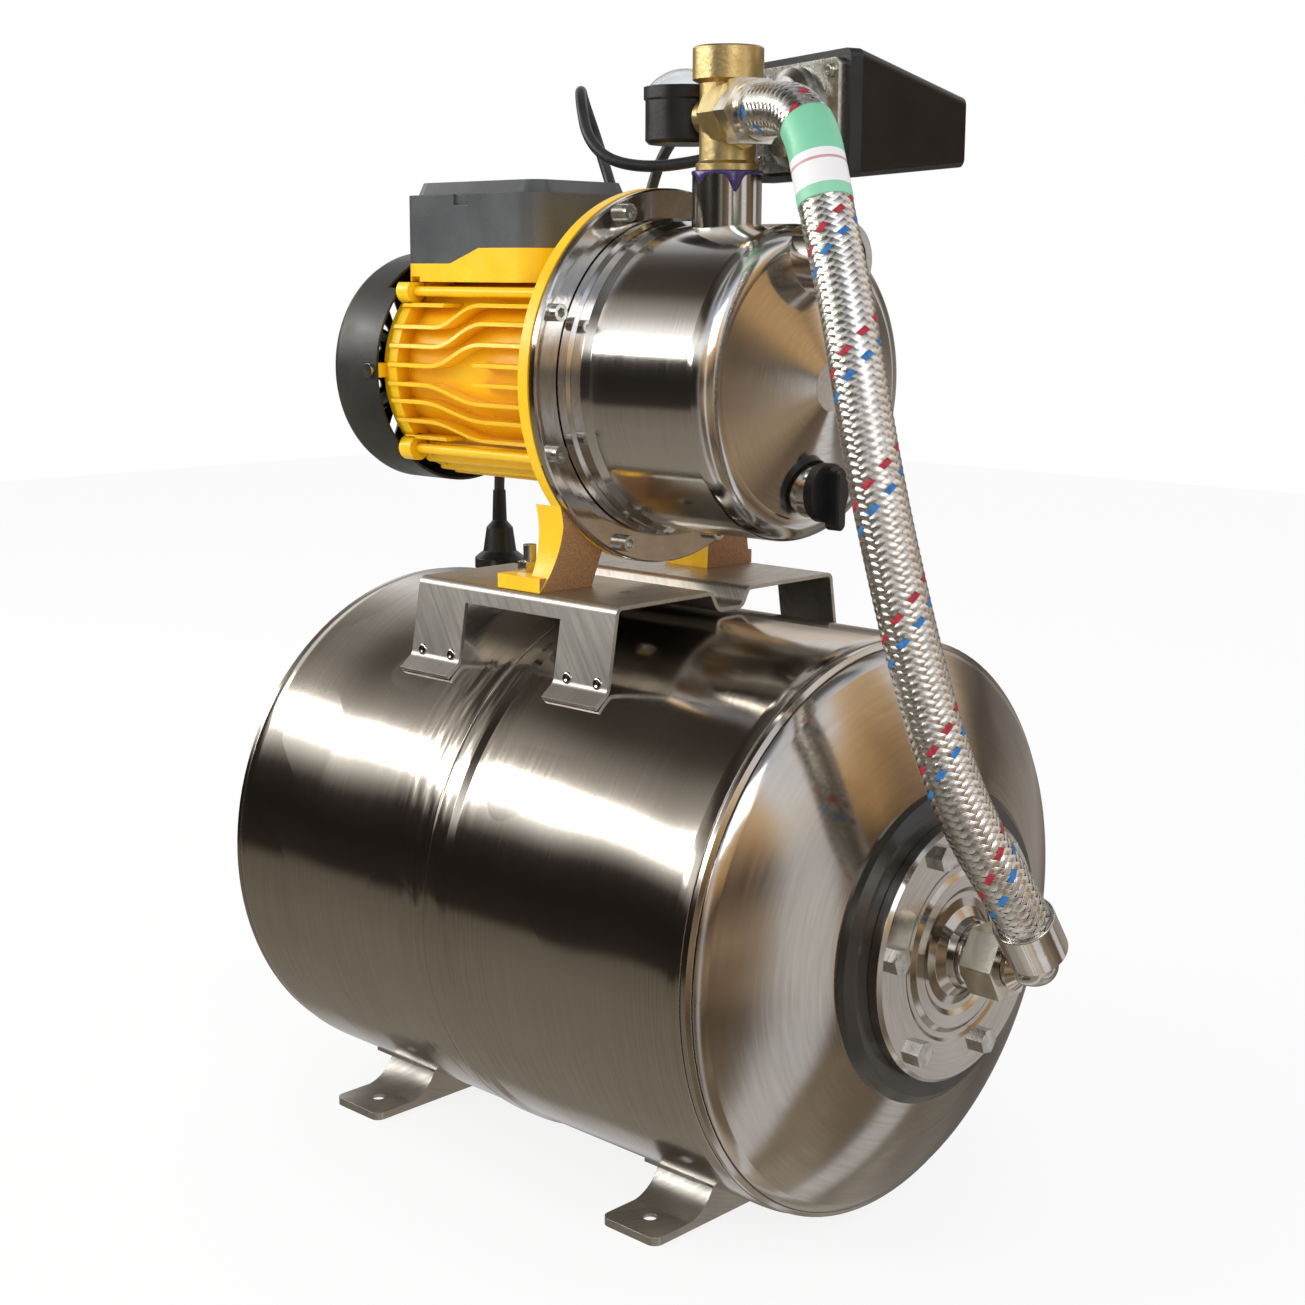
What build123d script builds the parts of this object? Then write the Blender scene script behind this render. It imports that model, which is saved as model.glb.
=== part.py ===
from build123d import *
from math import cos, radians, sin, sqrt, tan
import os

# Booster pump set: a self-priming jet pump on a stainless pressure tank, millimetres.
# X runs along both axes towards the tank's water flange, Z is up, the floor is z = 0,
# and the origin lies midway between the four foot holes.

# Tank
tank_radius = 169.5
tank_floor_gap = 7.0
tank_axis_z = tank_radius + tank_floor_gap
tank_wall = 1.5
tank_rear_x = -183.0
tank_front_x = 212.0
dome_height = 50.0
shoulder_round = 22.0
seam_x = 6.4
seam_width = 14.0
lap_gap = 0.1
joggle = 5.0
shell_mouth_radius = 60.0
seat_radius = 90.0
membrane_radius = 138.0
membrane_wall = 3.0
lip_radius = 56.0
neck_radius = 50.0

# Water flange
flange_radius = 75.0
flange_face_x = 266.0
flange_sheet = 3.0
flange_rim = 8.0
nipple_radius = 16.6
nipple_bore = 13.0
nipple_length = 26.0
flange_bolt_circle = 62.5
flange_bolt_count = 6
flange_bolt_turn = -9.0
bolt_radius = 3.95
bolt_hole_radius = 4.5
hex_across_flats = 13.0
hex_height = 5.5

# Air valve
valve_radius = 4.0
valve_length = 22.0
valve_boss_radius = 9.0
cap_radius = 7.5
cap_length = 15.0

# Feet
foot_x = 125.0
foot_width = 44.0
foot_reach = 121.0
foot_sheet = 2.0
foot_pad_height = 5.0
foot_hole_y = 102.0
foot_hole_radius = 4.25
foot_heel_y = 70.0
foot_toe_y = 92.0
tab_length = 17.0
foot_corner = 6.0

# Platform
platform_rise = 15.0
platform_top = tank_axis_z + tank_radius + platform_rise
platform_sheet = 2.5
platform_x0 = -79.0
platform_x1 = 92.0
platform_half_width = 97.0
platform_leg = 44.0
platform_skirt = 12.0
platform_bend = 5.0
channel_half_width = 16.0
leg_toe = 12.0
service_hole = 10.0
service_hole_x = 59.0
service_hole_y = -53.0

# Motor ribs on each flank, as heights over the axis: rear height, front height, and the wave's ends
waved_ribs = [
    (28.0, 42.0, -102.0, -68.0),
    (16.0, 31.0, -99.0, -57.0),
    (4.0, 18.5, -102.0, -54.0),
    (-8.0, -18.0, -108.0, -56.0),
    (-19.0, -29.0, -112.0, -56.0),
    (-31.5, -41.5, -110.0, -62.0),
]
front_ribs = [6.0, -6.0]
front_rib_x = -60.0
rear_ribs = [41.5, -42.5]
rear_rib_x = -101.0

# Pump
pump_axis_height = 123.0
pump_axis_z = platform_top + pump_axis_height
joint_x = 35.0
ring_radius = 112.0
ring_depth = 10.0
web = 6.0
casing_radius = 90.0
casing_wall = 1.5
casing_straight_x = 137.0
casing_nose_x = 166.0
clamp_sheet = 3.5
clamp_inner_radius = 95.2
screw_circle = 104.5
screw_count = 8
screw_radius = 2.95
screw_hole_radius = 3.3
screw_head_radius = 5.0
screw_head_height = 6.0
screw_length = 14.0
gasket = 1.0
port_bore = 15.2
outlet_x = 85.2
outlet_radius = 20.25
outlet_height = 120.0
outlet_top = pump_axis_z + outlet_height
suction_rise = 70.0
suction_z = pump_axis_z + suction_rise
suction_radius = 20.5
suction_x = 176.0
drain_drop = 60.0
drain_z = pump_axis_z - drain_drop
drain_x = 160.0
drain_boss_radius = 15.0
drain_bore = 7.2
plug_disc_radius = 17.0
plug_disc = 6.0
wing_height = 9.0
wing_length = 21.0
wing_width = 8.0
impeller_radius = 60.0
impeller_x = 50.0
shroud = 2.0
vane_height = 7.0
vane_count = 6
eye_radius = 20.0
diffuser_radius = 70.0
ejector_length = 72.0
running_gap = 0.05

# Pump feet
pump_foot_x0 = -10.0
pump_foot_x1 = 26.5
pump_foot_y0 = 52.0
pump_foot_y1 = 95.0
pump_foot_height = 8.6
pump_leg_depth = 12.5
pump_bolt_x = -1.0
pump_bolt_y = 77.0
bolt_stand = 10.0
nut_height = 6.5

# Motor
frame_x0 = -142.0
frame_x1 = -12.0
frame_radius = 58.0
frame_bore = 52.55
fin_radius = 70.0
fin_ring = 8.0
fin_thickness = 2.6
fin_pitch = 12.4
rod_offset = 50.0
rod_radius = 3.2
rod_x1 = 4.0
boss_radius = 8.0
notch_radius = 9.4
shield_x = -156.0
shield_radius = 66.0
core_radius = 52.5
core_x0 = -112.0
core_x1 = -38.0
air_gap = 0.4
rotor_radius = 27.0
coil_inner = 31.0
coil_outer = 48.0
coil_overhang = 15.0
shaft_radius = 9.0
rear_journal = 7.5
front_journal = 8.5
seal_journal = 8.0
rear_bearing_radius = 17.5
rear_bearing_width = 11.0
front_bearing_radius = 20.0
front_bearing_width = 12.0
front_bearing_x = -8.0

# Fan
fan_radius = 62.0
fan_x = -186.0
fan_width = 18.0
blade_count = 7
cover_x0 = -202.0
cover_x1 = -146.0
cover_radius = 75.0
cover_wall = 1.6
cover_bevel = 14.0
relief_x = -158.5
relief_half_width = 54.0
grille_slots = 16
cover_screw_radius = 2.4
cover_screw_head = 4.5

# Terminal box
box_x0 = -153.0
box_x1 = -27.0
box_half_width = 49.0
box_seat = 56.0
box_bottom = pump_axis_z + box_seat
box_wall = 3.0
box_base = 6.0
box_floor = box_bottom + box_base
split_low_height = 11.5
box_split_low = box_bottom + split_low_height
split_high_height = 21.0
box_split_high = box_bottom + split_high_height
box_height = 54.0
box_top = box_bottom + box_height
lid_rise = 8.0
box_round = 18.0
gland_radius = 9.0
gland_length = 14.0
gland_x = -80.0
gland_height = 32.0
gland_z = box_bottom + gland_height
capacitor_radius = 16.0
capacitor_length = 62.0

# Five-way fitting; its side ports are turned from X by this angle
port_turn = -20.0
fitting_port_height = 32.0
fitting_port_z = outlet_top + fitting_port_height
fitting_radius = 16.3
fitting_collar_radius = 20.5
collar_rise = 19.0
fitting_collar_z = fitting_port_z + collar_rise
fitting_rise = 37.5
fitting_top = fitting_port_z + fitting_rise
fitting_water_radius = 11.0
fitting_spigot = 12.0
hose_boss_flats = 38.0
hose_boss_reach = 20.0
small_boss_radius = 11.0
small_boss_reach = 24.0
small_bore = 6.6

# Gauge
gauge_distance = 53.0
gauge_radius = 24.0
gauge_drop = 14.0
gauge_bottom = fitting_port_z - gauge_drop
gauge_height = 33.0
gauge_top = gauge_bottom + gauge_height
gauge_well = 14.0
gauge_floor = gauge_top - gauge_well
gauge_bezel = 25.0
gauge_glass_radius = 21.3
gauge_dome = 11.0
glass_wall = 2.0
dial_thickness = 1.0
needle_length = 16.0

# Pressure switch, seen along the port that carries it
switch_half_width = 52.0
switch_half_height = 35.5
switch_back = 45.0
switch_rim = 58.0
switch_end = 136.0
switch_end_half_width = 42.0
switch_end_half_height = 20.0
switch_end_drop = 7.5
switch_wall = 2.5
switch_plate_margin = 5.0
diaphragm_radius = 28.0
entry_reach = 72.0
entry_half_height = 20.0
entry_radius = 7.5
entry_length = 12.0
entry_spacing = 14.0
lever_pivot_reach = 66.0
spring_radius = 6.0

# Hose and cords
hose_diameter = 29.0
hose_stub = 18.0
hose_nut_flats = 36.0
hose_nut_length = 13.0
ferrule_radius = 17.0
ferrule_length = 9.0
union_nut_x = 279.0
union_nut_length = 20.0
union_nut_flats = 37.0
elbow_x = 322.0
elbow_radius = 9.0
elbow_bend = 13.0
elbow_lean = 35.7
elbow_ferrule = 46.0
cord_diameter = 7.5
cord_stub = 15.0
hank_x0 = -162.0
hank_x1 = -10.0
hank_width = 52.0
hank_layers = 2
hank_y = 78.5
hank_rise = 20.0
hank_z = pump_axis_z + hank_rise
tie_x = -85.0
tie_width = 5.0
tie_thickness = 1.2
plug_x = -201.0
plug_y = 80.0
plug_drop = 148.0
plug_face_z = pump_axis_z - plug_drop
plug_radius = 18.0
plug_height = 56.0
pin_radius = 2.4
pin_length = 19.0
pin_spacing = 19.0

hose_route = [
    (160.5, -27.5, 632.0), (175.0, -33.2, 619.5), (184.5, -38.0, 599.5), (197.0, -43.5, 569.0),
    (213.0, -51.0, 537.0), (231.0, -60.0, 492.0), (246.0, -65.0, 446.0), (261.0, -66.0, 398.0),
    (276.0, -64.0, 348.0), (291.0, -60.0, 302.0), (307.0, -54.0, 264.0),
]
motor_cord_route = [
    (-89.0, 94.0, 576.0), (-106.0, 105.0, 589.0), (-120.0, 109.0, 612.0), (-129.5, 107.0, 638.0),
    (-129.0, 95.0, 660.0), (-115.0, 78.0, 667.5), (-100.0, 64.0, 655.0), (-89.0, 58.5, 633.0),
    (-71.0, 59.5, 618.0), (-45.0, 71.0, 613.0), (-18.0, 89.0, 617.0), (8.0, 100.0, 624.0),
]
mains_cord_route = [
    (12.0, 100.0, 650.0), (-16.0, 103.0, 652.0), (-41.0, 102.0, 643.0), (-58.0, 98.0, 624.0),
    (-66.0, 94.0, 598.0), (-69.5, 90.5, 569.0),
]
plug_cord_route = [
    (-141.0, 89.0, 447.0), (-155.0, 88.5, 434.5), (-171.0, 87.0, 429.0), (-186.0, 84.5, 426.5),
    (-196.5, 82.0, 418.5),
]

os.makedirs("parts", exist_ok=True)

tank_axis = Axis((0, 0, tank_axis_z), (1, 0, 0))
pump_axis = Axis((0, 0, pump_axis_z), (1, 0, 0))
tank_profile = Plane(origin=(0, 0, tank_axis_z), x_dir=(1, 0, 0), z_dir=(0, -1, 0))
pump_profile = Plane(origin=(0, 0, pump_axis_z), x_dir=(1, 0, 0), z_dir=(0, -1, 0))


# The radius of the sphere whose cap has this rim and this height
def cap_sphere(rim, height):
    return (rim**2 + height**2) / (2 * height)


dome_radius = cap_sphere(tank_radius, dome_height)


def save(piece, name):
    piece.part.label = name
    export_step(piece.part, f"parts/{name}.step")


# A plane across the pump's or the tank's axis: its own x is +Y and its own y is +Z.
def across(x, z):
    return Plane(origin=(x, 0, z), x_dir=(0, 1, 0), z_dir=(1, 0, 0))


# A body of revolution about an axis along X, from its half outline.
def turned(profile, axis, points, mode=Mode.ADD):
    with BuildSketch(profile, mode=Mode.PRIVATE) as outline:
        with BuildLine():
            Polyline(*points, close=True)
        make_face()
    revolve(outline.sketch, axis=axis, mode=mode)


# A straight bar of round section between two points.
def round_bar(start, end, radius, mode=Mode.ADD):
    line = Vector(*end) - Vector(*start)
    with BuildSketch(Plane(origin=start, z_dir=line), mode=Mode.PRIVATE) as section:
        Circle(radius)
    extrude(section.sketch, amount=line.length, mode=mode)


# A hexagonal prism standing on a plane, with the corners of its far face turned off.
def hexagon(plane, flats, height, mode=Mode.ADD):
    with BuildSketch(plane, mode=Mode.PRIVATE) as section:
        RegularPolygon(flats / 2, 6, major_radius=False)
    extrude(section.sketch, amount=height, mode=mode)


# The outside of the tank's domes: how far the dome stands out at a radius.
def dome_rise(radius):
    return sqrt(dome_radius**2 - radius**2) - (dome_radius - dome_height)


# A cord's tube: straight runs joined by arcs as large as their runs allow.
def cord_path(points):
    radii = []
    for before, here, after in zip(points, points[1:], points[2:]):
        run_in, run_out = Vector(*here) - Vector(*before), Vector(*after) - Vector(*here)
        half_turn = radians(run_in.get_angle(run_out)) / 2
        radii.append(0.45 * min(run_in.length, run_out.length) / tan(half_turn))
    print("arc radii", [round(radius) for radius in radii])
    return FilletPolyline(*points, radius=radii)


# Rear half of the tank
rear_dome_tip = tank_rear_x - dome_height
lap_end_x = seam_x + seam_width - 1.0
with BuildPart() as rear_tank_shell:
    with BuildSketch(tank_profile):
        with BuildLine():
            Line((lap_end_x, tank_radius), (tank_rear_x, tank_radius))
            ThreePointArc(
                (tank_rear_x, tank_radius),
                (tank_rear_x - dome_rise(tank_radius / 2), tank_radius / 2),
                (tank_rear_x - dome_rise(valve_radius), valve_radius),
            )
            Line(
                (tank_rear_x - dome_rise(valve_radius), valve_radius),
                (tank_rear_x - dome_rise(valve_radius) + tank_wall, valve_radius),
            )
            ThreePointArc(
                (tank_rear_x - dome_rise(valve_radius) + tank_wall, valve_radius),
                (tank_rear_x - dome_rise(tank_radius / 2) + tank_wall, tank_radius / 2),
                (tank_rear_x + tank_wall / 2, tank_radius - tank_wall),
            )
            Polyline(
                (tank_rear_x + tank_wall / 2, tank_radius - tank_wall),
                (lap_end_x, tank_radius - tank_wall),
                (lap_end_x, tank_radius),
            )
        outline = make_face()
        fillet(outline.vertices().group_by(Axis.Y)[-1].sort_by(Axis.X)[0], shoulder_round)
    revolve(axis=tank_axis)
save(rear_tank_shell, "rear_tank_shell")

# Front half, with the raised band that laps over the rear half
band_radius = tank_radius + lap_gap + tank_wall
mouth_x = tank_front_x + dome_rise(shell_mouth_radius)
with BuildPart() as front_tank_shell:
    with BuildSketch(tank_profile):
        with BuildLine():
            Polyline(
                (tank_front_x, tank_radius),
                (seam_x + seam_width + joggle, tank_radius),
                (seam_x + seam_width, band_radius),
                (seam_x, band_radius),
                (seam_x, band_radius - tank_wall),
                (seam_x + seam_width, band_radius - tank_wall),
                (seam_x + seam_width + joggle, tank_radius - tank_wall),
                (tank_front_x - tank_wall / 2, tank_radius - tank_wall),
            )
            ThreePointArc(
                (tank_front_x - tank_wall / 2, tank_radius - tank_wall),
                (tank_front_x + dome_rise(tank_radius * 0.7) - tank_wall, tank_radius * 0.7),
                (mouth_x - tank_wall, shell_mouth_radius),
            )
            Line((mouth_x - tank_wall, shell_mouth_radius), (mouth_x, shell_mouth_radius))
            ThreePointArc(
                (mouth_x, shell_mouth_radius),
                (tank_front_x + dome_rise(tank_radius * 0.7), tank_radius * 0.7),
                (tank_front_x, tank_radius),
            )
        outline = make_face()
        corner = Vector(tank_front_x, tank_radius)
        shoulder = outline.vertices().sort_by_distance(corner)[0]
        fillet(shoulder, shoulder_round)
    revolve(axis=tank_axis)
save(front_tank_shell, "front_tank_shell")

# Seat ring welded into the mouth of the front half
flange_back_x = flange_face_x - flange_sheet
seat_step_x = flange_face_x - flange_rim - 0.3
seat_hub_radius = shell_mouth_radius - 2.0
seat_middle = (seat_radius + shell_mouth_radius) / 2
rim_inner_radius = flange_radius - flange_sheet
with BuildPart() as seat_ring:
    with BuildSketch(tank_profile):
        with BuildLine():
            ThreePointArc(
                (tank_front_x + dome_rise(seat_radius), seat_radius),
                (tank_front_x + dome_rise(seat_middle), seat_middle),
                (mouth_x, shell_mouth_radius),
            )
            Polyline(
                (mouth_x, shell_mouth_radius),
                (mouth_x, seat_hub_radius),
                (flange_back_x, seat_hub_radius),
                (flange_back_x, rim_inner_radius - 0.5),
                (seat_step_x, rim_inner_radius - 0.5),
                (seat_step_x, seat_radius - 5),
                (seat_step_x - 4, seat_radius),
                (tank_front_x + dome_rise(seat_radius), seat_radius),
            )
        make_face()
    revolve(axis=tank_axis)
    with BuildSketch(across(flange_back_x, tank_axis_z)):
        with PolarLocations(flange_bolt_circle, flange_bolt_count, start_angle=flange_bolt_turn):
            Circle(bolt_radius + running_gap)
    extrude(amount=-(flange_back_x - mouth_x), mode=Mode.SUBTRACT)
save(seat_ring, "seat_ring")

# Membrane that holds the water, its lip clamped under the flange
with BuildPart() as tank_membrane:
    turned(tank_profile, tank_axis, [
        (flange_back_x, neck_radius - membrane_wall),
        (flange_back_x, lip_radius),
        (flange_back_x - 4, lip_radius),
        (flange_back_x - 4, neck_radius),
        (tank_front_x + 22, neck_radius),
        (tank_front_x - 8, membrane_radius - 30),
        (tank_front_x - 36, membrane_radius),
        (tank_rear_x + 60, membrane_radius),
        (tank_rear_x + 30, membrane_radius - 34),
        (tank_rear_x + 18, 0),
        (tank_rear_x + 18 + membrane_wall, 0),
        (tank_rear_x + 30 + membrane_wall, membrane_radius - 34 - membrane_wall),
        (tank_rear_x + 60 + membrane_wall, membrane_radius - membrane_wall),
        (tank_front_x - 36 - membrane_wall, membrane_radius - membrane_wall),
        (tank_front_x - 8 - membrane_wall, membrane_radius - 30 - membrane_wall),
        (tank_front_x + 22 - membrane_wall, neck_radius - membrane_wall),
    ])
save(tank_membrane, "tank_membrane")

# Pressed flange with its rolled rim, ribs and threaded nipple
nipple_end_x = flange_face_x + nipple_length
with BuildPart() as tank_flange:
    turned(tank_profile, tank_axis, [
        (flange_back_x, nipple_bore),
        (nipple_end_x, nipple_bore),
        (nipple_end_x, nipple_radius - 1),
        (nipple_end_x - 1, nipple_radius),
        (flange_face_x + 8, nipple_radius),
        (flange_face_x + 8, nipple_radius + 2.4),
        (flange_face_x + 4, nipple_radius + 4),
        (flange_face_x + 0.5, nipple_radius + 9),
        (flange_face_x - 1, nipple_radius + 14),
        (flange_face_x - 1, nipple_radius + 17),
        (flange_face_x + 1, nipple_radius + 20),
        (flange_face_x + 1, nipple_radius + 27),
        (flange_face_x - 1, nipple_radius + 30),
        (flange_face_x - 1, nipple_radius + 33),
        (flange_face_x, nipple_radius + 35),
        (flange_face_x, flange_radius - 2),
        (flange_face_x - 2, flange_radius),
        (flange_face_x - flange_rim, flange_radius),
        (flange_face_x - flange_rim, rim_inner_radius),
        (flange_back_x, rim_inner_radius),
    ])
    with BuildSketch(across(flange_face_x, tank_axis_z)):
        with PolarLocations(flange_bolt_circle, flange_bolt_count, start_angle=flange_bolt_turn):
            Circle(bolt_hole_radius)
    extrude(amount=-flange_sheet, mode=Mode.SUBTRACT)
save(tank_flange, "tank_flange")

with BuildPart() as flange_bolts:
    with BuildSketch(across(flange_face_x, tank_axis_z)):
        with PolarLocations(flange_bolt_circle, flange_bolt_count, start_angle=flange_bolt_turn):
            RegularPolygon(hex_across_flats / 2, 6, major_radius=False)
    extrude(amount=hex_height)
    with BuildSketch(across(flange_face_x, tank_axis_z)):
        with PolarLocations(flange_bolt_circle, flange_bolt_count, start_angle=flange_bolt_turn):
            Circle(bolt_radius)
    extrude(amount=-(flange_face_x - mouth_x))
save(flange_bolts, "flange_bolts")

# Air valve in the rear dome, under its cap
valve_seat_x = tank_rear_x - dome_rise(valve_boss_radius)
with BuildPart() as air_valve:
    turned(tank_profile, tank_axis, [
        (rear_dome_tip + tank_wall + 2, 0),
        (rear_dome_tip + tank_wall + 2, valve_radius - 0.3),
        (rear_dome_tip - 0.1, valve_radius - 0.3),
        (rear_dome_tip - 0.1, valve_boss_radius),
        (rear_dome_tip - 3, valve_boss_radius),
        (rear_dome_tip - 3, valve_radius),
        (rear_dome_tip - valve_length, valve_radius),
        (rear_dome_tip - valve_length, 0),
    ])
save(air_valve, "air_valve")

cap_mouth_x = rear_dome_tip - valve_length + cap_length - 3
with BuildPart() as air_valve_cap:
    turned(tank_profile, tank_axis, [
        (cap_mouth_x, valve_radius + running_gap),
        (cap_mouth_x, cap_radius),
        (cap_mouth_x - cap_length + 2, cap_radius - 0.8),
        (cap_mouth_x - cap_length, cap_radius - 2.5),
        (cap_mouth_x - cap_length, 0),
        (rear_dome_tip - valve_length - 0.2, 0),
        (rear_dome_tip - valve_length - 0.2, valve_radius + running_gap),
    ])
    with BuildSketch(across(cap_mouth_x, tank_axis_z)):
        with PolarLocations(cap_radius, 10):
            Circle(0.9)
    extrude(amount=-cap_length + 3, mode=Mode.SUBTRACT)
save(air_valve_cap, "air_valve_cap")



# A bent sheet seen from its end: its line runs along one face, the thickness lies to the left.
def sheet_outline(plane, points, bend, thickness):
    with BuildSketch(plane, mode=Mode.PRIVATE) as outline:
        with BuildLine():
            FilletPolyline(*points, radius=bend)
            offset(amount=thickness, side=Side.LEFT, kind=Kind.INTERSECTION)
        make_face()
    return outline.sketch


# Pressed saddle foot: pads, concave rises, skirts, and tabs spot-welded to the tank
weld_gap = 0.15
heel_spread = 2.0


def tank_underside(y, gap):
    return tank_axis_z - sqrt((tank_radius + gap) ** 2 - y**2)


def saddle_outline(plane, inset):
    seat = weld_gap + inset
    pad_z = foot_pad_height - inset
    reach = foot_reach - inset
    toe_y = foot_toe_y - inset
    heel = (foot_heel_y, tank_underside(foot_heel_y, seat))
    brow = (foot_heel_y + heel_spread - inset, heel[1] - heel_spread)
    rise = ((brow[0] + toe_y) / 2 - 2, pad_z + (brow[1] - pad_z) / 3)
    with BuildSketch(plane, mode=Mode.PRIVATE) as outline:
        for side in (-1, 1):
            with BuildLine():
                Polyline((0, -inset), (side * reach, -inset), (side * reach, pad_z), (side * toe_y, pad_z))
                ThreePointArc((side * toe_y, pad_z), (side * rise[0], rise[1]), (side * brow[0], brow[1]))
                Line((side * brow[0], brow[1]), (side * heel[0], heel[1]))
                ThreePointArc(
                    (side * heel[0], heel[1]),
                    (side * heel[0] / 2, tank_underside(heel[0] / 2, seat)),
                    (0, tank_underside(0, seat)),
                )
                Line((0, tank_underside(0, seat)), (0, -inset))
            make_face()
    return outline.sketch


def tab_outline(plane):
    ends = [foot_heel_y - heel_spread, foot_heel_y + tab_length / 2, foot_heel_y + tab_length]
    with BuildSketch(plane, mode=Mode.PRIVATE) as outline:
        for side in (-1, 1):
            near = [(side * y, tank_underside(y, weld_gap)) for y in ends]
            away = [(side * y, tank_underside(y, weld_gap + foot_sheet)) for y in ends]
            with BuildLine():
                ThreePointArc(*near)
                Line(near[2], away[2])
                ThreePointArc(*away)
                Line(away[0], near[0])
            make_face()
    return outline.sketch


def make_foot(name, centre_x):
    middle = Plane.YZ.offset(centre_x)
    with BuildPart() as foot:
        extrude(saddle_outline(middle, 0), amount=foot_width / 2, both=True)
        with BuildSketch(Plane.XY):
            with Locations((centre_x, 0)):
                RectangleRounded(foot_width, 2 * foot_reach, foot_corner)
        extrude(amount=tank_axis_z, mode=Mode.INTERSECT)
        extrude(
            saddle_outline(middle, foot_sheet),
            amount=foot_width / 2 - foot_sheet,
            both=True,
            mode=Mode.SUBTRACT,
        )
        extrude(tab_outline(middle), amount=foot_width / 2 - 3, both=True)
        with BuildSketch(Plane.XY):
            with Locations((centre_x, foot_hole_y), (centre_x, -foot_hole_y)):
                Circle(foot_hole_radius)
        extrude(amount=foot_pad_height + 1, mode=Mode.SUBTRACT)
    save(foot, name)


make_foot("rear_foot", -foot_x)
make_foot("front_foot", foot_x)

# Platform: one bent sheet with a channel along its middle, four legs and toes on the tank
platform_bottom = platform_top - platform_sheet
channel_floor = tank_axis_z + band_radius + weld_gap + platform_sheet
toe_y = platform_half_width + 8.0
toe_z = tank_axis_z + sqrt((tank_radius + weld_gap + platform_sheet) ** 2 - toe_y**2)
toe_run = (toe_z - tank_axis_z) / (tank_radius + weld_gap + platform_sheet)
toe_fall = toe_y / (tank_radius + weld_gap + platform_sheet)
half_line = [
    (toe_y + leg_toe * toe_run, toe_z - leg_toe * toe_fall),
    (toe_y, toe_z),
    (platform_half_width, platform_top),
    (channel_half_width, platform_top),
    (channel_half_width - 6, channel_floor),
]
platform_line = half_line + [(-y, z) for y, z in reversed(half_line)]
leg_inner_x0 = platform_x0 + platform_leg
leg_inner_x1 = platform_x1 - platform_leg
with BuildPart() as pump_platform:
    extrude(
        sheet_outline(Plane.YZ.offset(platform_x0), platform_line, platform_bend, platform_sheet),
        amount=platform_x1 - platform_x0,
    )
    with BuildSketch(Plane.XZ):
        with Locations((leg_inner_x0, tank_axis_z)):
            window = (leg_inner_x1 - leg_inner_x0, platform_top - platform_skirt - tank_axis_z)
            Rectangle(*window, align=(Align.MIN, Align.MIN))
    extrude(amount=tank_radius, both=True, mode=Mode.SUBTRACT)
    with BuildSketch(Plane.XY.offset(platform_bottom)):
        with Locations((pump_bolt_x, pump_bolt_y), (pump_bolt_x, -pump_bolt_y)):
            Circle(bolt_hole_radius)
        with Locations((service_hole_x, service_hole_y)):
            Rectangle(service_hole, service_hole)
    extrude(amount=platform_sheet, mode=Mode.SUBTRACT)
save(pump_platform, "pump_platform")

nut_z = platform_top + pump_foot_height
with BuildPart() as mount_bolts:
    for side in (-1, 1):
        place = Location((pump_bolt_x, side * pump_bolt_y, 0))
        hexagon(Plane.XY.offset(platform_bottom - hex_height).move(place), hex_across_flats, hex_height)
        hexagon(Plane.XY.offset(nut_z).move(place), hex_across_flats, nut_height)
        with BuildSketch(Plane.XY.offset(platform_bottom).move(place)):
            Circle(bolt_radius)
        extrude(amount=pump_foot_height + platform_sheet + nut_height + bolt_stand)
save(mount_bolts, "mount_bolts")

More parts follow.
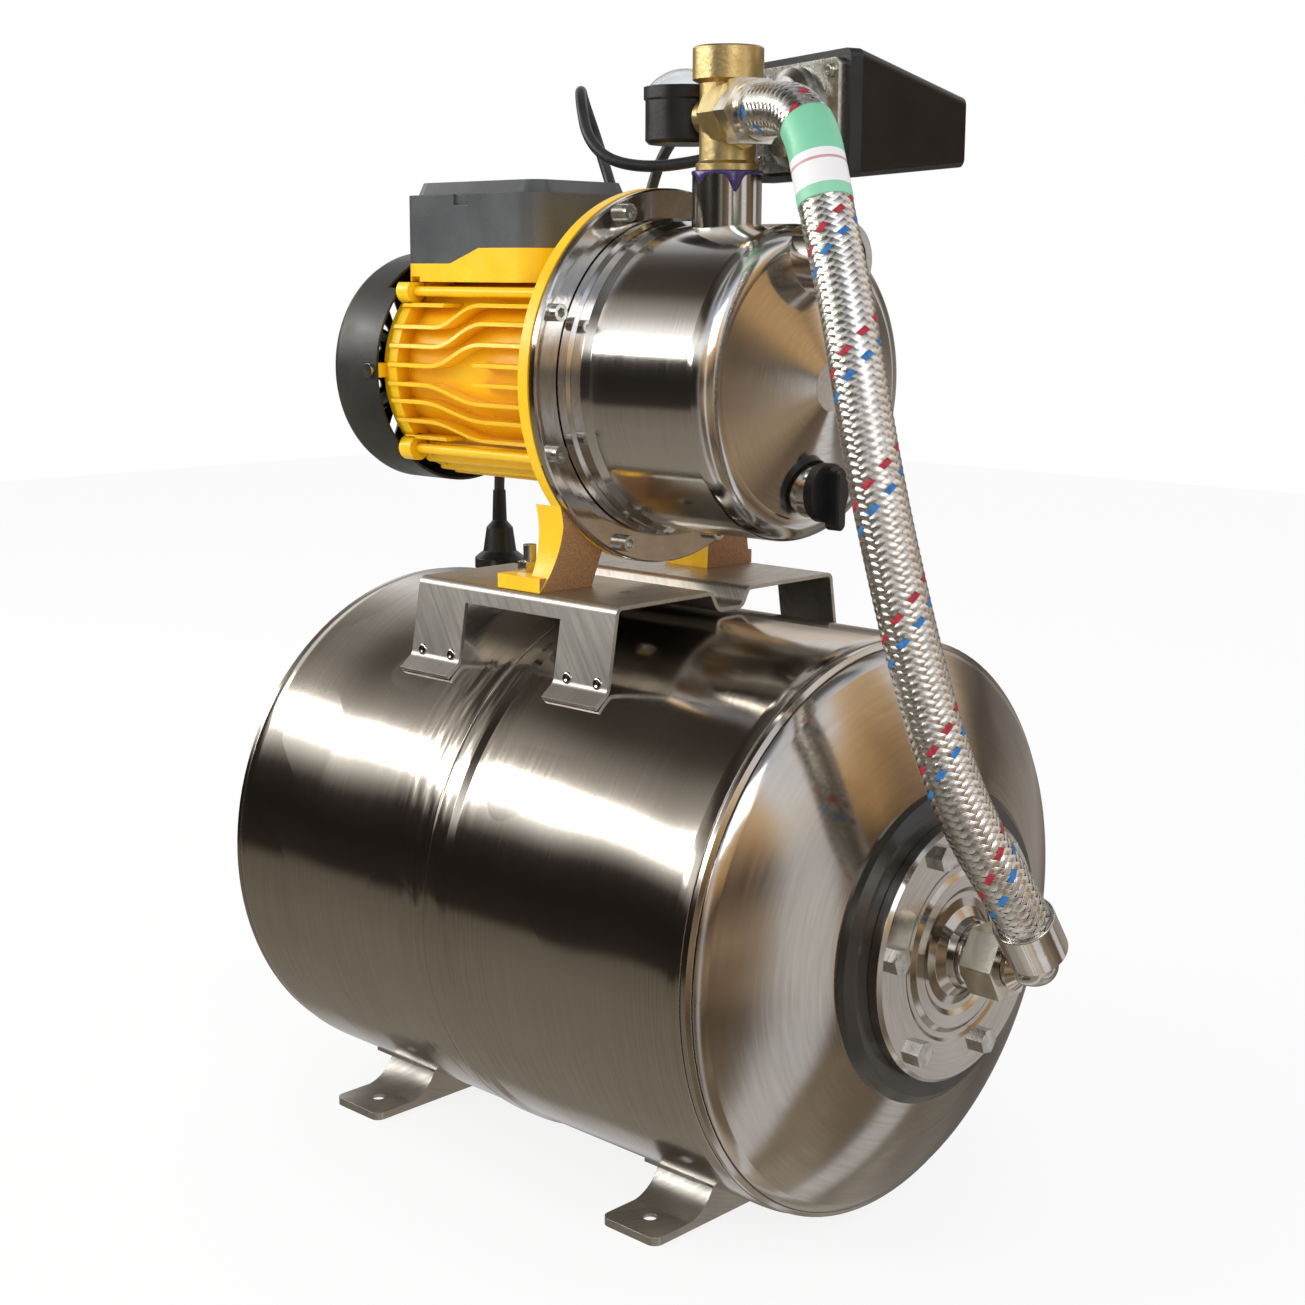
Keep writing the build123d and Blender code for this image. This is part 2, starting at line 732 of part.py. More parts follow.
# Pump bracket: the motor's front end shield, its bearing seat, ring, and two feet, in one casting
ring_back_x = joint_x - ring_depth
plate_radius = 100.0
plate_thickness = 4.0
plate_back_x = joint_x - plate_thickness
bearing_back_x = front_bearing_x - front_bearing_width / 2
bearing_front_x = front_bearing_x + front_bearing_width / 2
seat_clearance = 0.03
seal_bore = 14.0
rod_places = [(side * rod_offset, level * rod_offset) for side in (-1, 1) for level in (-1, 1)]
foot_slant_z = platform_top + 39.0
with BuildPart() as motor_bracket:
    for side in (-1, 1):
        with BuildSketch(Plane.YZ.offset(pump_foot_x1 - pump_leg_depth)):
            with BuildLine():
                Polyline(
                    (side * 86, pump_axis_z - sqrt(ring_radius**2 - 86**2)),
                    (side * 62, pump_axis_z - 84),
                    (side * 48, pump_axis_z - sqrt(ring_radius**2 - 48**2)),
                    (side * pump_foot_y0, platform_top),
                    (side * pump_foot_y1, platform_top),
                )
                ThreePointArc(
                    (side * pump_foot_y1, platform_top),
                    (side * 84.5, platform_top + 24),
                    (side * 86, pump_axis_z - sqrt(ring_radius**2 - 86**2)),
                )
            make_face()
        extrude(amount=joint_x - pump_foot_x1 + pump_leg_depth)
    with BuildSketch(Plane.XZ):
        with BuildLine():
            Polyline(
                (pump_foot_x1, platform_top),
                (joint_x + 1, platform_top),
                (joint_x + 1, foot_slant_z),
                (joint_x, foot_slant_z),
                close=True,
            )
        make_face()
    extrude(amount=ring_radius, both=True, mode=Mode.SUBTRACT)
    with BuildSketch(Plane.XY.offset(platform_top)):
        for side in (-1, 1):
            with Locations(((pump_foot_x0 + pump_foot_x1) / 2, side * (pump_foot_y0 + pump_foot_y1) / 2)):
                Rectangle(pump_foot_x1 - pump_foot_x0, pump_foot_y1 - pump_foot_y0)
    extrude(amount=pump_foot_height)
    turned(pump_profile, pump_axis, [
        (joint_x, ring_radius),
        (ring_back_x + 2, ring_radius),
        (ring_back_x, ring_radius - 2),
        (ring_back_x - 4, ring_radius - 10),
        (frame_x1 + 18, frame_radius + 14),
        (frame_x1, frame_radius + 8),
        (frame_x1, frame_radius - 5),
        (frame_x1 + 16, frame_radius + 6),
        (ring_back_x - 6, ring_radius - 20),
        (plate_back_x - web, ring_radius - 20),
        (plate_back_x - web, front_bearing_radius + 10),
        (bearing_front_x, front_bearing_radius + web),
        (bearing_back_x - 1, front_bearing_radius + web),
        (bearing_back_x - 1, front_bearing_radius + seat_clearance),
        (bearing_front_x, front_bearing_radius + seat_clearance),
        (bearing_front_x, seal_bore),
        (plate_back_x, seal_bore),
        (plate_back_x, plate_radius + 0.3),
        (joint_x, plate_radius + 0.3),
    ])
    with BuildSketch(across(frame_x1, pump_axis_z)):
        with Locations(*rod_places):
            Circle(boss_radius)
    extrude(amount=rod_x1 - frame_x1 + 6)
    with BuildSketch(across(frame_x1, pump_axis_z)):
        with Locations(*rod_places):
            Circle(rod_radius + running_gap)
    extrude(amount=rod_x1 - frame_x1, mode=Mode.SUBTRACT)
    with BuildSketch(across(joint_x, pump_axis_z)):
        with PolarLocations(screw_circle, screw_count, start_angle=180 / screw_count):
            Circle(screw_radius + running_gap)
    extrude(amount=-ring_depth + 1.5, mode=Mode.SUBTRACT)
    with BuildSketch(Plane.XY.offset(platform_top)):
        with Locations((pump_bolt_x, pump_bolt_y), (pump_bolt_x, -pump_bolt_y)):
            Circle(bolt_hole_radius)
    extrude(amount=pump_foot_height, mode=Mode.SUBTRACT)
save(motor_bracket, "motor_bracket")

# Seal plate in the ring's recess, with the fixed half of the shaft seal
seat_flange = 1.5
with BuildPart() as seal_plate:
    turned(pump_profile, pump_axis, [
        (plate_back_x, seal_bore + seat_clearance),
        (plate_back_x, plate_radius),
        (joint_x, plate_radius),
        (joint_x, seal_bore + seat_clearance),
    ])
save(seal_plate, "seal_plate")

with BuildPart() as seal_seat:
    turned(pump_profile, pump_axis, [
        (plate_back_x, seal_journal + 1),
        (plate_back_x, seal_bore),
        (joint_x + 0.1, seal_bore),
        (joint_x + 0.1, seal_bore + seat_flange),
        (joint_x + 1.6, seal_bore + seat_flange),
        (joint_x + 1.6, seal_journal + 1),
    ])
save(seal_seat, "seal_seat")

seal_face_x = joint_x + 1.6 + running_gap
with BuildPart() as seal_head:
    turned(pump_profile, pump_axis, [
        (seal_face_x, seal_journal),
        (seal_face_x, seal_bore - 2),
        (seal_face_x + 3, seal_bore - 1),
        (impeller_x, seal_bore - 1),
        (impeller_x, seal_journal),
    ])
save(seal_head, "seal_head")

# Pump casing: drawn stainless barrel with a stepped mouth, a domed front and three ports
flange_x = joint_x + gasket
nozzle_root = 6.0
nose_flat = 14.0
port_root_x = casing_straight_x + 9.0


def casing_outline(inset):
    with BuildSketch(pump_profile, mode=Mode.PRIVATE) as outline:
        with BuildLine():
            Polyline(
                (casing_nose_x - inset, nose_flat),
                (casing_nose_x - inset, 0),
                (flange_x - inset / 10, 0),
                (flange_x - inset / 10, casing_radius + 4.5 - inset),
                (flange_x + 12, casing_radius + 4.5 - inset),
                (flange_x + 14, casing_radius + 2.5 - inset),
                (flange_x + 22, casing_radius + 2.5 - inset),
                (flange_x + 27, casing_radius - inset),
                (casing_straight_x, casing_radius - inset),
            )
            ThreePointArc(
                (casing_straight_x, casing_radius - inset),
                (casing_straight_x + 9.5 - inset * 0.7, casing_radius - 4.2 - inset * 0.7),
                (casing_straight_x + 13.5 - inset, casing_radius - 14),
            )
            ThreePointArc(
                (casing_straight_x + 13.5 - inset, casing_radius - 14),
                (casing_nose_x - 8 - inset, casing_radius / 2 - 2),
                (casing_nose_x - inset, nose_flat),
            )
        make_face()
    return outline.sketch


with BuildPart() as pump_casing:
    revolve(casing_outline(0), axis=pump_axis)
    with BuildSketch(Plane.XY.offset(pump_axis_z + casing_radius - nozzle_root)):
        with Locations((outlet_x, 0)):
            Circle(outlet_radius)
    extrude(amount=outlet_top - pump_axis_z - casing_radius + nozzle_root)
    with BuildSketch(across(port_root_x, suction_z)):
        Circle(suction_radius)
    extrude(amount=suction_x - port_root_x)
    with BuildSketch(across(port_root_x, drain_z)):
        Circle(drain_boss_radius)
    extrude(amount=drain_x - port_root_x)
    revolve(casing_outline(casing_wall), axis=pump_axis, mode=Mode.SUBTRACT)
    turned(pump_profile, pump_axis, [
        (flange_x, casing_radius + 4),
        (flange_x, ring_radius - 0.5),
        (flange_x + casing_wall, ring_radius - 0.5),
        (flange_x + casing_wall, casing_radius + 4),
    ])
    with BuildSketch(Plane.XY.offset(pump_axis_z)):
        with Locations((outlet_x, 0)):
            Circle(port_bore)
    extrude(amount=outlet_top - pump_axis_z, mode=Mode.SUBTRACT)
    with BuildSketch(across(flange_x + 14, suction_z)):
        Circle(port_bore)
    extrude(amount=suction_x - flange_x - 14, mode=Mode.SUBTRACT)
    with BuildSketch(across(flange_x + 14, drain_z)):
        Circle(drain_bore)
    extrude(amount=drain_x - flange_x - 14, mode=Mode.SUBTRACT)
    with BuildSketch(across(flange_x, pump_axis_z)):
        with PolarLocations(screw_circle, screw_count, start_angle=180 / screw_count):
            Circle(screw_hole_radius)
    extrude(amount=casing_wall, mode=Mode.SUBTRACT)
save(pump_casing, "pump_casing")

with BuildPart() as casing_gasket:
    turned(pump_profile, pump_axis, [
        (joint_x, casing_radius + 4),
        (joint_x, plate_radius - 0.5),
        (flange_x, plate_radius - 0.5),
        (flange_x, casing_radius + 4),
    ])
save(casing_gasket, "casing_gasket")

clamp_back_x = flange_x + casing_wall
clamp_front_x = clamp_back_x + clamp_sheet
with BuildPart() as clamp_ring:
    turned(pump_profile, pump_axis, [
        (clamp_back_x, clamp_inner_radius),
        (clamp_back_x, ring_radius - 0.2),
        (clamp_front_x - 1, ring_radius - 0.2),
        (clamp_front_x, ring_radius - 1.2),
        (clamp_front_x, clamp_inner_radius),
    ])
    with BuildSketch(across(clamp_back_x, pump_axis_z)):
        with PolarLocations(screw_circle, screw_count, start_angle=180 / screw_count):
            Circle(screw_hole_radius)
    extrude(amount=clamp_sheet, mode=Mode.SUBTRACT)
save(clamp_ring, "clamp_ring")

with BuildPart() as clamp_screws:
    with BuildSketch(across(clamp_front_x, pump_axis_z)):
        with PolarLocations(screw_circle, screw_count, start_angle=180 / screw_count):
            Circle(screw_head_radius)
    extrude(amount=screw_head_height)
    with BuildSketch(across(clamp_front_x, pump_axis_z)):
        with PolarLocations(screw_circle, screw_count, start_angle=180 / screw_count):
            Circle(screw_radius)
    extrude(amount=-screw_length)
    with BuildSketch(across(clamp_front_x + screw_head_height, pump_axis_z)):
        with PolarLocations(screw_circle, screw_count, start_angle=180 / screw_count):
            RegularPolygon(screw_head_radius / 2, 6, major_radius=False)
    extrude(amount=-screw_head_height * 0.55, mode=Mode.SUBTRACT)
save(clamp_screws, "clamp_screws")

# Closed impeller with backward-swept vanes
vane_x = impeller_x + shroud
front_shroud_x = vane_x + vane_height
eye_end_x = front_shroud_x + shroud + 4.0
hub_radius = seal_journal + 4.0
with BuildPart() as impeller:
    turned(pump_profile, pump_axis, [
        (impeller_x, seal_journal),
        (impeller_x, impeller_radius),
        (vane_x, impeller_radius),
        (vane_x, hub_radius + 4),
        (front_shroud_x, hub_radius),
        (front_shroud_x, seal_journal),
    ])
    turned(pump_profile, pump_axis, [
        (front_shroud_x, eye_radius),
        (front_shroud_x, impeller_radius),
        (front_shroud_x + shroud, impeller_radius),
        (front_shroud_x + shroud, eye_radius + shroud),
        (eye_end_x, eye_radius + shroud),
        (eye_end_x, eye_radius),
    ])
    with BuildSketch(across(vane_x, pump_axis_z)) as vanes:
        with BuildLine():
            ThreePointArc((0, eye_radius - 2), (18, 36), (44, 40.5))
            ThreePointArc((44, 40.5), (17, 38.4), (-2, eye_radius - 2))
            Line((-2, eye_radius - 2), (0, eye_radius - 2))
        make_face()
        add([vanes.face().rotate(Axis.Z, 360 / vane_count * turn) for turn in range(1, vane_count)])
    extrude(amount=vane_height)
save(impeller, "impeller")

# Diffuser cup round the impeller, standing on the seal plate, with slots for the water
cup_wall = 3.0
cup_front_x = eye_end_x + 1.0
with BuildPart() as diffuser:
    turned(pump_profile, pump_axis, [
        (joint_x, diffuser_radius - cup_wall),
        (joint_x, diffuser_radius),
        (cup_front_x + cup_wall, diffuser_radius),
        (cup_front_x + cup_wall, eye_radius - 2),
        (cup_front_x, eye_radius - 2),
        (cup_front_x, diffuser_radius - cup_wall),
    ])
    with BuildSketch(Plane.XY.offset(pump_axis_z)) as slots:
        with Locations((impeller_x + 4, 0)):
            SlotOverall(22, 9)
    slot = slots.sketch
    for turn in range(8):
        turned_slot = slot.rotate(pump_axis, 45 * turn + 22.5)
        extrude(turned_slot, amount=diffuser_radius + 4, mode=Mode.SUBTRACT)
save(diffuser, "diffuser")

ejector_x = cup_front_x + cup_wall
with BuildPart() as ejector:
    turned(pump_profile, pump_axis, [
        (ejector_x, eye_radius - 4),
        (ejector_x, eye_radius + 10),
        (ejector_x + 3, eye_radius + 10),
        (ejector_x + 6, eye_radius),
        (ejector_x + ejector_length * 0.6, 12),
        (ejector_x + ejector_length, 14),
        (ejector_x + ejector_length, 11),
        (ejector_x + ejector_length * 0.6, 7.5),
    ])
save(ejector, "ejector")

# Drain plug with a wing grip
wing_bevel = 1.2
wing_top = 15.0
plug_shank = 12.0
with BuildPart() as drain_plug:
    with BuildSketch(across(drain_x + running_gap, drain_z)):
        Circle(plug_disc_radius)
    extrude(amount=plug_disc)
    with BuildSketch(across(drain_x + plug_disc, drain_z)):
        with Locations((0, (wing_top - wing_length) / 2)):
            SlotOverall(wing_length + wing_top, wing_width, rotation=90)
    extrude(amount=wing_height + running_gap)
    chamfer(drain_plug.faces().sort_by(Axis.X)[-1].edges(), wing_bevel)
    with BuildSketch(across(drain_x + running_gap, drain_z)):
        Circle(drain_bore - running_gap)
    extrude(amount=-plug_shank)
save(drain_plug, "drain_plug")

# Motor frame: die-cast aluminium with waved ribs on both flanks, straight fins below, and the
# base of the terminal box on top
ring_radius_rear = fin_radius - 2.0
lug_length = 11.5
split_bend_x0 = -103.0
split_bend_x1 = -76.0
box_centre_x = (box_x0 + box_x1) / 2
box_length = box_x1 - box_x0


def box_outline(inset, z):
    with BuildSketch(Plane.XY.offset(z), mode=Mode.PRIVATE) as outline:
        with Locations((box_centre_x, 0)):
            RectangleRounded(box_length - 2 * inset, 2 * (box_half_width - inset), box_round - inset)
    return outline.sketch


# The side view of what lies above the line where the box's cover meets its base
def above_split(gap):
    with BuildSketch(Plane.XZ, mode=Mode.PRIVATE) as outline:
        with BuildLine():
            Polyline(
                (box_x0 - 1, box_split_low + gap),
                (split_bend_x0, box_split_low + gap),
                (split_bend_x1, box_split_high + gap),
                (box_x1 + 1, box_split_high + gap),
                (box_x1 + 1, box_top + 40),
                (box_x0 - 1, box_top + 40),
                close=True,
            )
        make_face()
    return outline.sketch


with BuildPart() as motor_frame:
    with BuildSketch(pump_profile):
        for rear_height, front_height, wave_x0, wave_x1 in waved_ribs:
            with BuildLine() as rib_line:
                Line((frame_x0 + 1, rear_height), (wave_x0, rear_height))
                Spline((wave_x0, rear_height), (wave_x1, front_height), tangents=[(1, 0), (1, 0)])
                Line((wave_x1, front_height), (frame_x1 - 1, front_height))
            trace(rib_line.line, line_width=fin_thickness)
        for height in front_ribs:
            with Locations((front_rib_x, height)):
                length = frame_x1 - 1 - front_rib_x
                Rectangle(length, fin_thickness, align=(Align.MIN, Align.CENTER))
        for height in rear_ribs:
            with Locations((frame_x0 + 1, height)):
                length = rear_rib_x - frame_x0 - 1
                Rectangle(length, fin_thickness, align=(Align.MIN, Align.CENTER))
    extrude(amount=fin_radius, both=True)
    with BuildSketch(Plane.XY.offset(pump_axis_z - fin_radius)):
        for step in range(-3, 4):
            with Locations((frame_x0 + 1, step * fin_pitch)):
                length = frame_x1 - frame_x0 - 2
                Rectangle(length, fin_thickness, align=(Align.MIN, Align.CENTER))
    extrude(amount=fin_radius - frame_bore + 6)
    turned(pump_profile, pump_axis, [
        (frame_x0, 0),
        (frame_x0, fin_radius),
        (frame_x1, fin_radius),
        (frame_x1, 0),
    ], mode=Mode.INTERSECT)
    turned(pump_profile, pump_axis, [
        (frame_x0, frame_bore),
        (frame_x0, ring_radius_rear),
        (frame_x0 + fin_ring, ring_radius_rear),
        (frame_x0 + fin_ring, frame_radius),
        (frame_x1 - fin_ring, frame_radius),
        (frame_x1 - fin_ring, ring_radius_rear),
        (frame_x1, ring_radius_rear),
        (frame_x1, frame_bore),
    ])
    extrude(box_outline(0, box_bottom), amount=box_split_high - box_bottom)
    extrude(box_outline(box_wall, box_floor), amount=box_split_high - box_floor, mode=Mode.SUBTRACT)
    extrude(above_split(0), amount=2 * box_half_width, both=True, mode=Mode.SUBTRACT)
    turned(pump_profile, pump_axis, [
        (box_x0 - 1, 0),
        (box_x0 - 1, frame_bore),
        (frame_x1 + 1, frame_bore),
        (frame_x1 + 1, 0),
    ], mode=Mode.SUBTRACT)
    with BuildSketch(across(frame_x0, pump_axis_z)):
        with Locations(*rod_places):
            Circle(notch_radius)
    extrude(amount=lug_length - 2, mode=Mode.SUBTRACT)
    with BuildSketch(across(frame_x0, pump_axis_z)):
        with Locations(*rod_places):
            Circle(rod_radius + 1)
    extrude(amount=frame_x1 - frame_x0, mode=Mode.SUBTRACT)
save(motor_frame, "motor_frame")

# Rear end shield: bearing seat, four lugs for the tie rods, two lugs for the fan cover
shield_end_x = frame_x0
lug_x0 = cover_x1 + 0.5
rear_bearing_x0 = shield_x + 2.0
cover_lug = 9.0
cover_lug_x = cover_x1 - 6.0
cover_inner_radius = cover_radius - cover_wall
with BuildPart() as rear_end_shield:
    turned(pump_profile, pump_axis, [
        (shield_x, rear_journal + 1.5),
        (shield_x, rear_bearing_radius + web),
        (shield_x + 5, shield_radius - 12),
        (shield_x + 7, shield_radius),
        (shield_end_x, shield_radius),
        (shield_end_x, frame_bore),
        (shield_x + 10, frame_bore - 4),
        (rear_bearing_x0 + rear_bearing_width, rear_bearing_radius + web),
        (rear_bearing_x0 + rear_bearing_width, rear_bearing_radius + seat_clearance),
        (rear_bearing_x0, rear_bearing_radius + seat_clearance),
        (rear_bearing_x0, rear_journal + 1.5),
    ])
    with BuildSketch(across(lug_x0, pump_axis_z)):
        with Locations(*rod_places):
            Circle(boss_radius)
    extrude(amount=lug_length)
    turned(pump_profile, pump_axis, [
        (shield_end_x, 0),
        (shield_end_x, ring_radius_rear),
        (shield_end_x + lug_length, ring_radius_rear - 6),
        (shield_end_x + lug_length, 0),
    ], mode=Mode.SUBTRACT)
    with BuildSketch(across(cover_x1 - 1.5 * cover_lug, pump_axis_z)):
        Rectangle(2 * cover_inner_radius - 0.6, cover_lug)
        Circle(shield_radius - 8, mode=Mode.SUBTRACT)
    extrude(amount=1.5 * cover_lug)
    with BuildSketch(across(shield_x - 1, box_bottom - 0.3)):
        Rectangle(2 * shield_radius, boss_radius * 3, align=(Align.CENTER, Align.MIN))
    extrude(amount=30, mode=Mode.SUBTRACT)
    with BuildSketch(across(lug_x0, pump_axis_z)):
        with Locations(*rod_places):
            Circle(rod_radius + running_gap)
    extrude(amount=lug_length, mode=Mode.SUBTRACT)
    with BuildSketch(pump_profile):
        with Locations((cover_lug_x, 0)):
            Circle(cover_screw_radius)
    extrude(amount=cover_radius, both=True, mode=Mode.SUBTRACT)
save(rear_end_shield, "rear_end_shield")

with BuildPart() as tie_rods:
    with BuildSketch(across(lug_x0 + 0.1, pump_axis_z)):
        with Locations(*rod_places):
            Circle(rod_radius)
    extrude(amount=rod_x1 - lug_x0 - 0.1)
save(tie_rods, "tie_rods")

# Shaft, with journals for both bearings, the seal and the impeller
shaft_x0 = fan_x - 6.0
shaft_x1 = eye_end_x
nut_x = front_shroud_x
with BuildPart() as motor_shaft:
    turned(pump_profile, pump_axis, [
        (shaft_x0, 0),
        (shaft_x0, rear_journal - 0.5),
        (shaft_x0 + 0.5, rear_journal),
        (rear_bearing_x0 + rear_bearing_width, rear_journal),
        (rear_bearing_x0 + rear_bearing_width, shaft_radius),
        (bearing_back_x, shaft_radius),
        (bearing_back_x, front_journal),
        (bearing_front_x, front_journal),
        (bearing_front_x, seal_journal),
        (nut_x, seal_journal),
        (nut_x, 5),
        (shaft_x1, 5),
        (shaft_x1, 0),
    ])
    hexagon(across(nut_x, pump_axis_z), 17, 5)
save(motor_shaft, "motor_shaft")


def bearing_points(x, width, bore, outside):
    middle = (bore + outside) / 2
    land = (outside - bore) / 5
    return [
        (x, bore),
        (x, bore + land),
        (x + 1, middle - land / 2),
        (x + 1, middle + land / 2),
        (x, outside - land),
        (x, outside),
        (x + width, outside),
        (x + width, outside - land),
        (x + width - 1, middle + land / 2),
        (x + width - 1, middle - land / 2),
        (x + width, bore + land),
        (x + width, bore),
    ]


rear_bore = rear_journal + running_gap
front_bore = front_journal + running_gap
with BuildPart() as shaft_bearings:
    turned(
        pump_profile,
        pump_axis,
        bearing_points(rear_bearing_x0, rear_bearing_width, rear_bore, rear_bearing_radius),
    )
    turned(
        pump_profile,
        pump_axis,
        bearing_points(bearing_back_x, front_bearing_width, front_bore, front_bearing_radius),
    )
save(shaft_bearings, "shaft_bearings")

# Cage rotor on the shaft, with end rings and stub blades
with BuildPart() as rotor_core:
    turned(pump_profile, pump_axis, [
        (core_x0 - 6, shaft_radius),
        (core_x0 - 6, rotor_radius - 2),
        (core_x0, rotor_radius - 2),
        (core_x0, rotor_radius),
        (core_x1, rotor_radius),
        (core_x1, rotor_radius - 2),
        (core_x1 + 6, rotor_radius - 2),
        (core_x1 + 6, shaft_radius),
    ])
save(rotor_core, "rotor_core")

# Stator stack with closed slots, and the winding that fills them
slot_count = 12
slot_width = 7.0
slot_inner = coil_inner
slot_outer = coil_outer - 4.0
with BuildPart() as stator_core:
    turned(pump_profile, pump_axis, [
        (core_x0, rotor_radius + air_gap),
        (core_x0, core_radius),
        (core_x1, core_radius),
        (core_x1, rotor_radius + air_gap),
    ])
    with BuildSketch(across(core_x0, pump_axis_z)):
        with PolarLocations((slot_inner + slot_outer) / 2, slot_count):
            Rectangle(slot_outer - slot_inner, slot_width)
    extrude(amount=core_x1 - core_x0, mode=Mode.SUBTRACT)
save(stator_core, "stator_core")

with BuildPart() as stator_windings:
    with BuildSketch(across(core_x0, pump_axis_z)):
        with PolarLocations((slot_inner + slot_outer) / 2, slot_count):
            Rectangle(slot_outer - slot_inner - 0.4, slot_width - 0.4)
    extrude(amount=core_x1 - core_x0)
    for x, out in ((core_x0, -1), (core_x1, 1)):
        turned(pump_profile, pump_axis, [
            (x, coil_inner),
            (x, coil_outer),
            (x + out * coil_overhang * 0.7, coil_outer),
            (x + out * coil_overhang, coil_outer - 4),
            (x + out * coil_overhang, coil_inner + 4),
            (x + out * coil_overhang * 0.7, coil_inner),
        ])
save(stator_windings, "stator_windings")

# Cooling fan and its pressed cover with a ring of slots in the back
fan_hub = rear_journal + 6.0
with BuildPart() as cooling_fan:
    turned(pump_profile, pump_axis, [
        (fan_x, rear_journal),
        (fan_x, fan_hub),
        (fan_x + fan_width - 2, fan_hub + 2),
        (fan_x + fan_width - 2, fan_radius - 12),
        (fan_x + fan_width, fan_radius - 12),
        (fan_x + fan_width, rear_journal),
    ])
    with BuildSketch(across(fan_x, pump_axis_z)):
        with PolarLocations((fan_hub + fan_radius) / 2 - 1, blade_count):
            Rectangle(fan_radius - fan_hub + 1, 2.2)
    extrude(amount=fan_width)
save(cooling_fan, "cooling_fan")

with BuildPart() as fan_cover:
    turned(pump_profile, pump_axis, [
        (cover_x0, 0),
        (cover_x0, cover_radius - cover_bevel),
        (cover_x0 + 2, cover_radius - cover_bevel + 4),
        (cover_x0 + cover_bevel - 2, cover_radius - 1.5),
        (cover_x0 + cover_bevel + 2, cover_radius),
        (cover_x1, cover_radius),
        (cover_x1, cover_inner_radius),
        (cover_x0 + cover_bevel + 2, cover_inner_radius),
        (cover_x0 + cover_bevel - 1, cover_inner_radius - 1.5),
        (cover_x0 + 2 + cover_wall, cover_radius - cover_bevel + 3),
        (cover_x0 + cover_wall, cover_radius - cover_bevel),
        (cover_x0 + cover_wall, 0),
    ])
    with BuildSketch(across(cover_x0, pump_axis_z)):
        with PolarLocations(42, grille_slots):
            SlotOverall(26, 7)
        with PolarLocations(19, grille_slots // 2):
            SlotOverall(12, 5)
    extrude(amount=cover_wall, mode=Mode.SUBTRACT)
    with BuildSketch(across(relief_x, pump_axis_z + relief_half_width - 4)):
        Rectangle(2 * relief_half_width, cover_radius, align=(Align.CENTER, Align.MIN))
    extrude(amount=cover_x1 - relief_x, mode=Mode.SUBTRACT)
    with BuildSketch(pump_profile):
        with Locations((cover_lug_x, 0)):
            Circle(cover_screw_radius + 0.2)
    extrude(amount=cover_radius + 1, both=True, mode=Mode.SUBTRACT)
save(fan_cover, "fan_cover")

with BuildPart() as fan_cover_screws:
    for side in (-1, 1):
        outside = (cover_lug_x, side * cover_radius, pump_axis_z)
        round_bar(outside, (cover_lug_x, side * (cover_radius + 2.6), pump_axis_z), cover_screw_head)
        round_bar(outside, (cover_lug_x, side * (cover_radius - 11), pump_axis_z), cover_screw_radius)
save(fan_cover_screws, "fan_cover_screws")

# Terminal box cover, with its raised lid and the pry slot in its edge
lid_margin = 3.0
with BuildPart() as terminal_box_cover:
    extrude(box_outline(0, box_split_low), amount=box_top - box_split_low)
    with BuildSketch(Plane.XY.offset(box_top)):
        with Locations((box_centre_x, 0)):
            RectangleRounded(box_length - 2 * lid_margin - 2, 2 * (box_half_width - 7), box_round - 5)
    extrude(amount=lid_rise, taper=24)
    inside_height = box_top - box_split_low - box_wall
    extrude(box_outline(box_wall, box_split_low), amount=inside_height, mode=Mode.SUBTRACT)
    extrude(above_split(0.1), amount=2 * box_half_width, both=True, mode=Mode.INTERSECT)
    with BuildSketch(Plane.XZ.offset(box_half_width - 1.8)):
        with Locations((-92.2, box_top - 3.4)):
            Rectangle(13.4, 7)
    extrude(amount=4, mode=Mode.SUBTRACT)
    gland_hole = [(gland_x, box_half_width + step, gland_z) for step in (-6, 1)]
    round_bar(*gland_hole, gland_radius - 2, mode=Mode.SUBTRACT)
save(terminal_box_cover, "terminal_box_cover")

block_x = -120.0
block_y = -12.0
with BuildPart() as terminal_block:
    with BuildSketch(Plane.XY.offset(box_floor)):
        with Locations((block_x, block_y)):
            Rectangle(16, 46)
    extrude(amount=14)
    with BuildSketch(Plane.XY.offset(box_floor + 14)):
        with Locations((block_x, block_y)):
            with GridLocations(8, 9, 1, 5):
                Rectangle(7, 6)
    extrude(amount=-6, mode=Mode.SUBTRACT)
    with BuildSketch(Plane.XY.offset(box_floor + 8.1)):
        with Locations((block_x, block_y)):
            with GridLocations(8, 9, 1, 5):
                Circle(2.6)
    extrude(amount=5)
save(terminal_block, "terminal_block")

capacitor_y = 22.0
capacitor_x = -104.0
with BuildPart() as run_capacitor:
    axis_z = box_floor + capacitor_radius
    ends = [(capacitor_x + step, capacitor_y, axis_z) for step in (0, capacitor_length)]
    round_bar(*ends, capacitor_radius)
    fillet(run_capacitor.edges().filter_by(GeomType.CIRCLE), 1.5)
save(run_capacitor, "run_capacitor")

with BuildPart() as motor_cable_gland:
    wall_y = box_half_width
    round_bar((gland_x, wall_y - 5, gland_z), (gland_x, wall_y, gland_z), gland_radius - 2 - running_gap)
    hexagon(Plane(origin=(gland_x, wall_y, gland_z), z_dir=(0, 1, 0)), 2 * gland_radius - 1, 5)
    round_bar((gland_x, wall_y + 5, gland_z), (gland_x, wall_y + gland_length, gland_z), gland_radius - 2)
    fillet(motor_cable_gland.faces().sort_by(Axis.Y)[-1].edges(), 2)
save(motor_cable_gland, "motor_cable_gland")


# The five-way fitting's side ports: planes across them and half-section planes along them
def port_direction(turn):
    return Vector(cos(radians(turn)), sin(radians(turn)), 0)


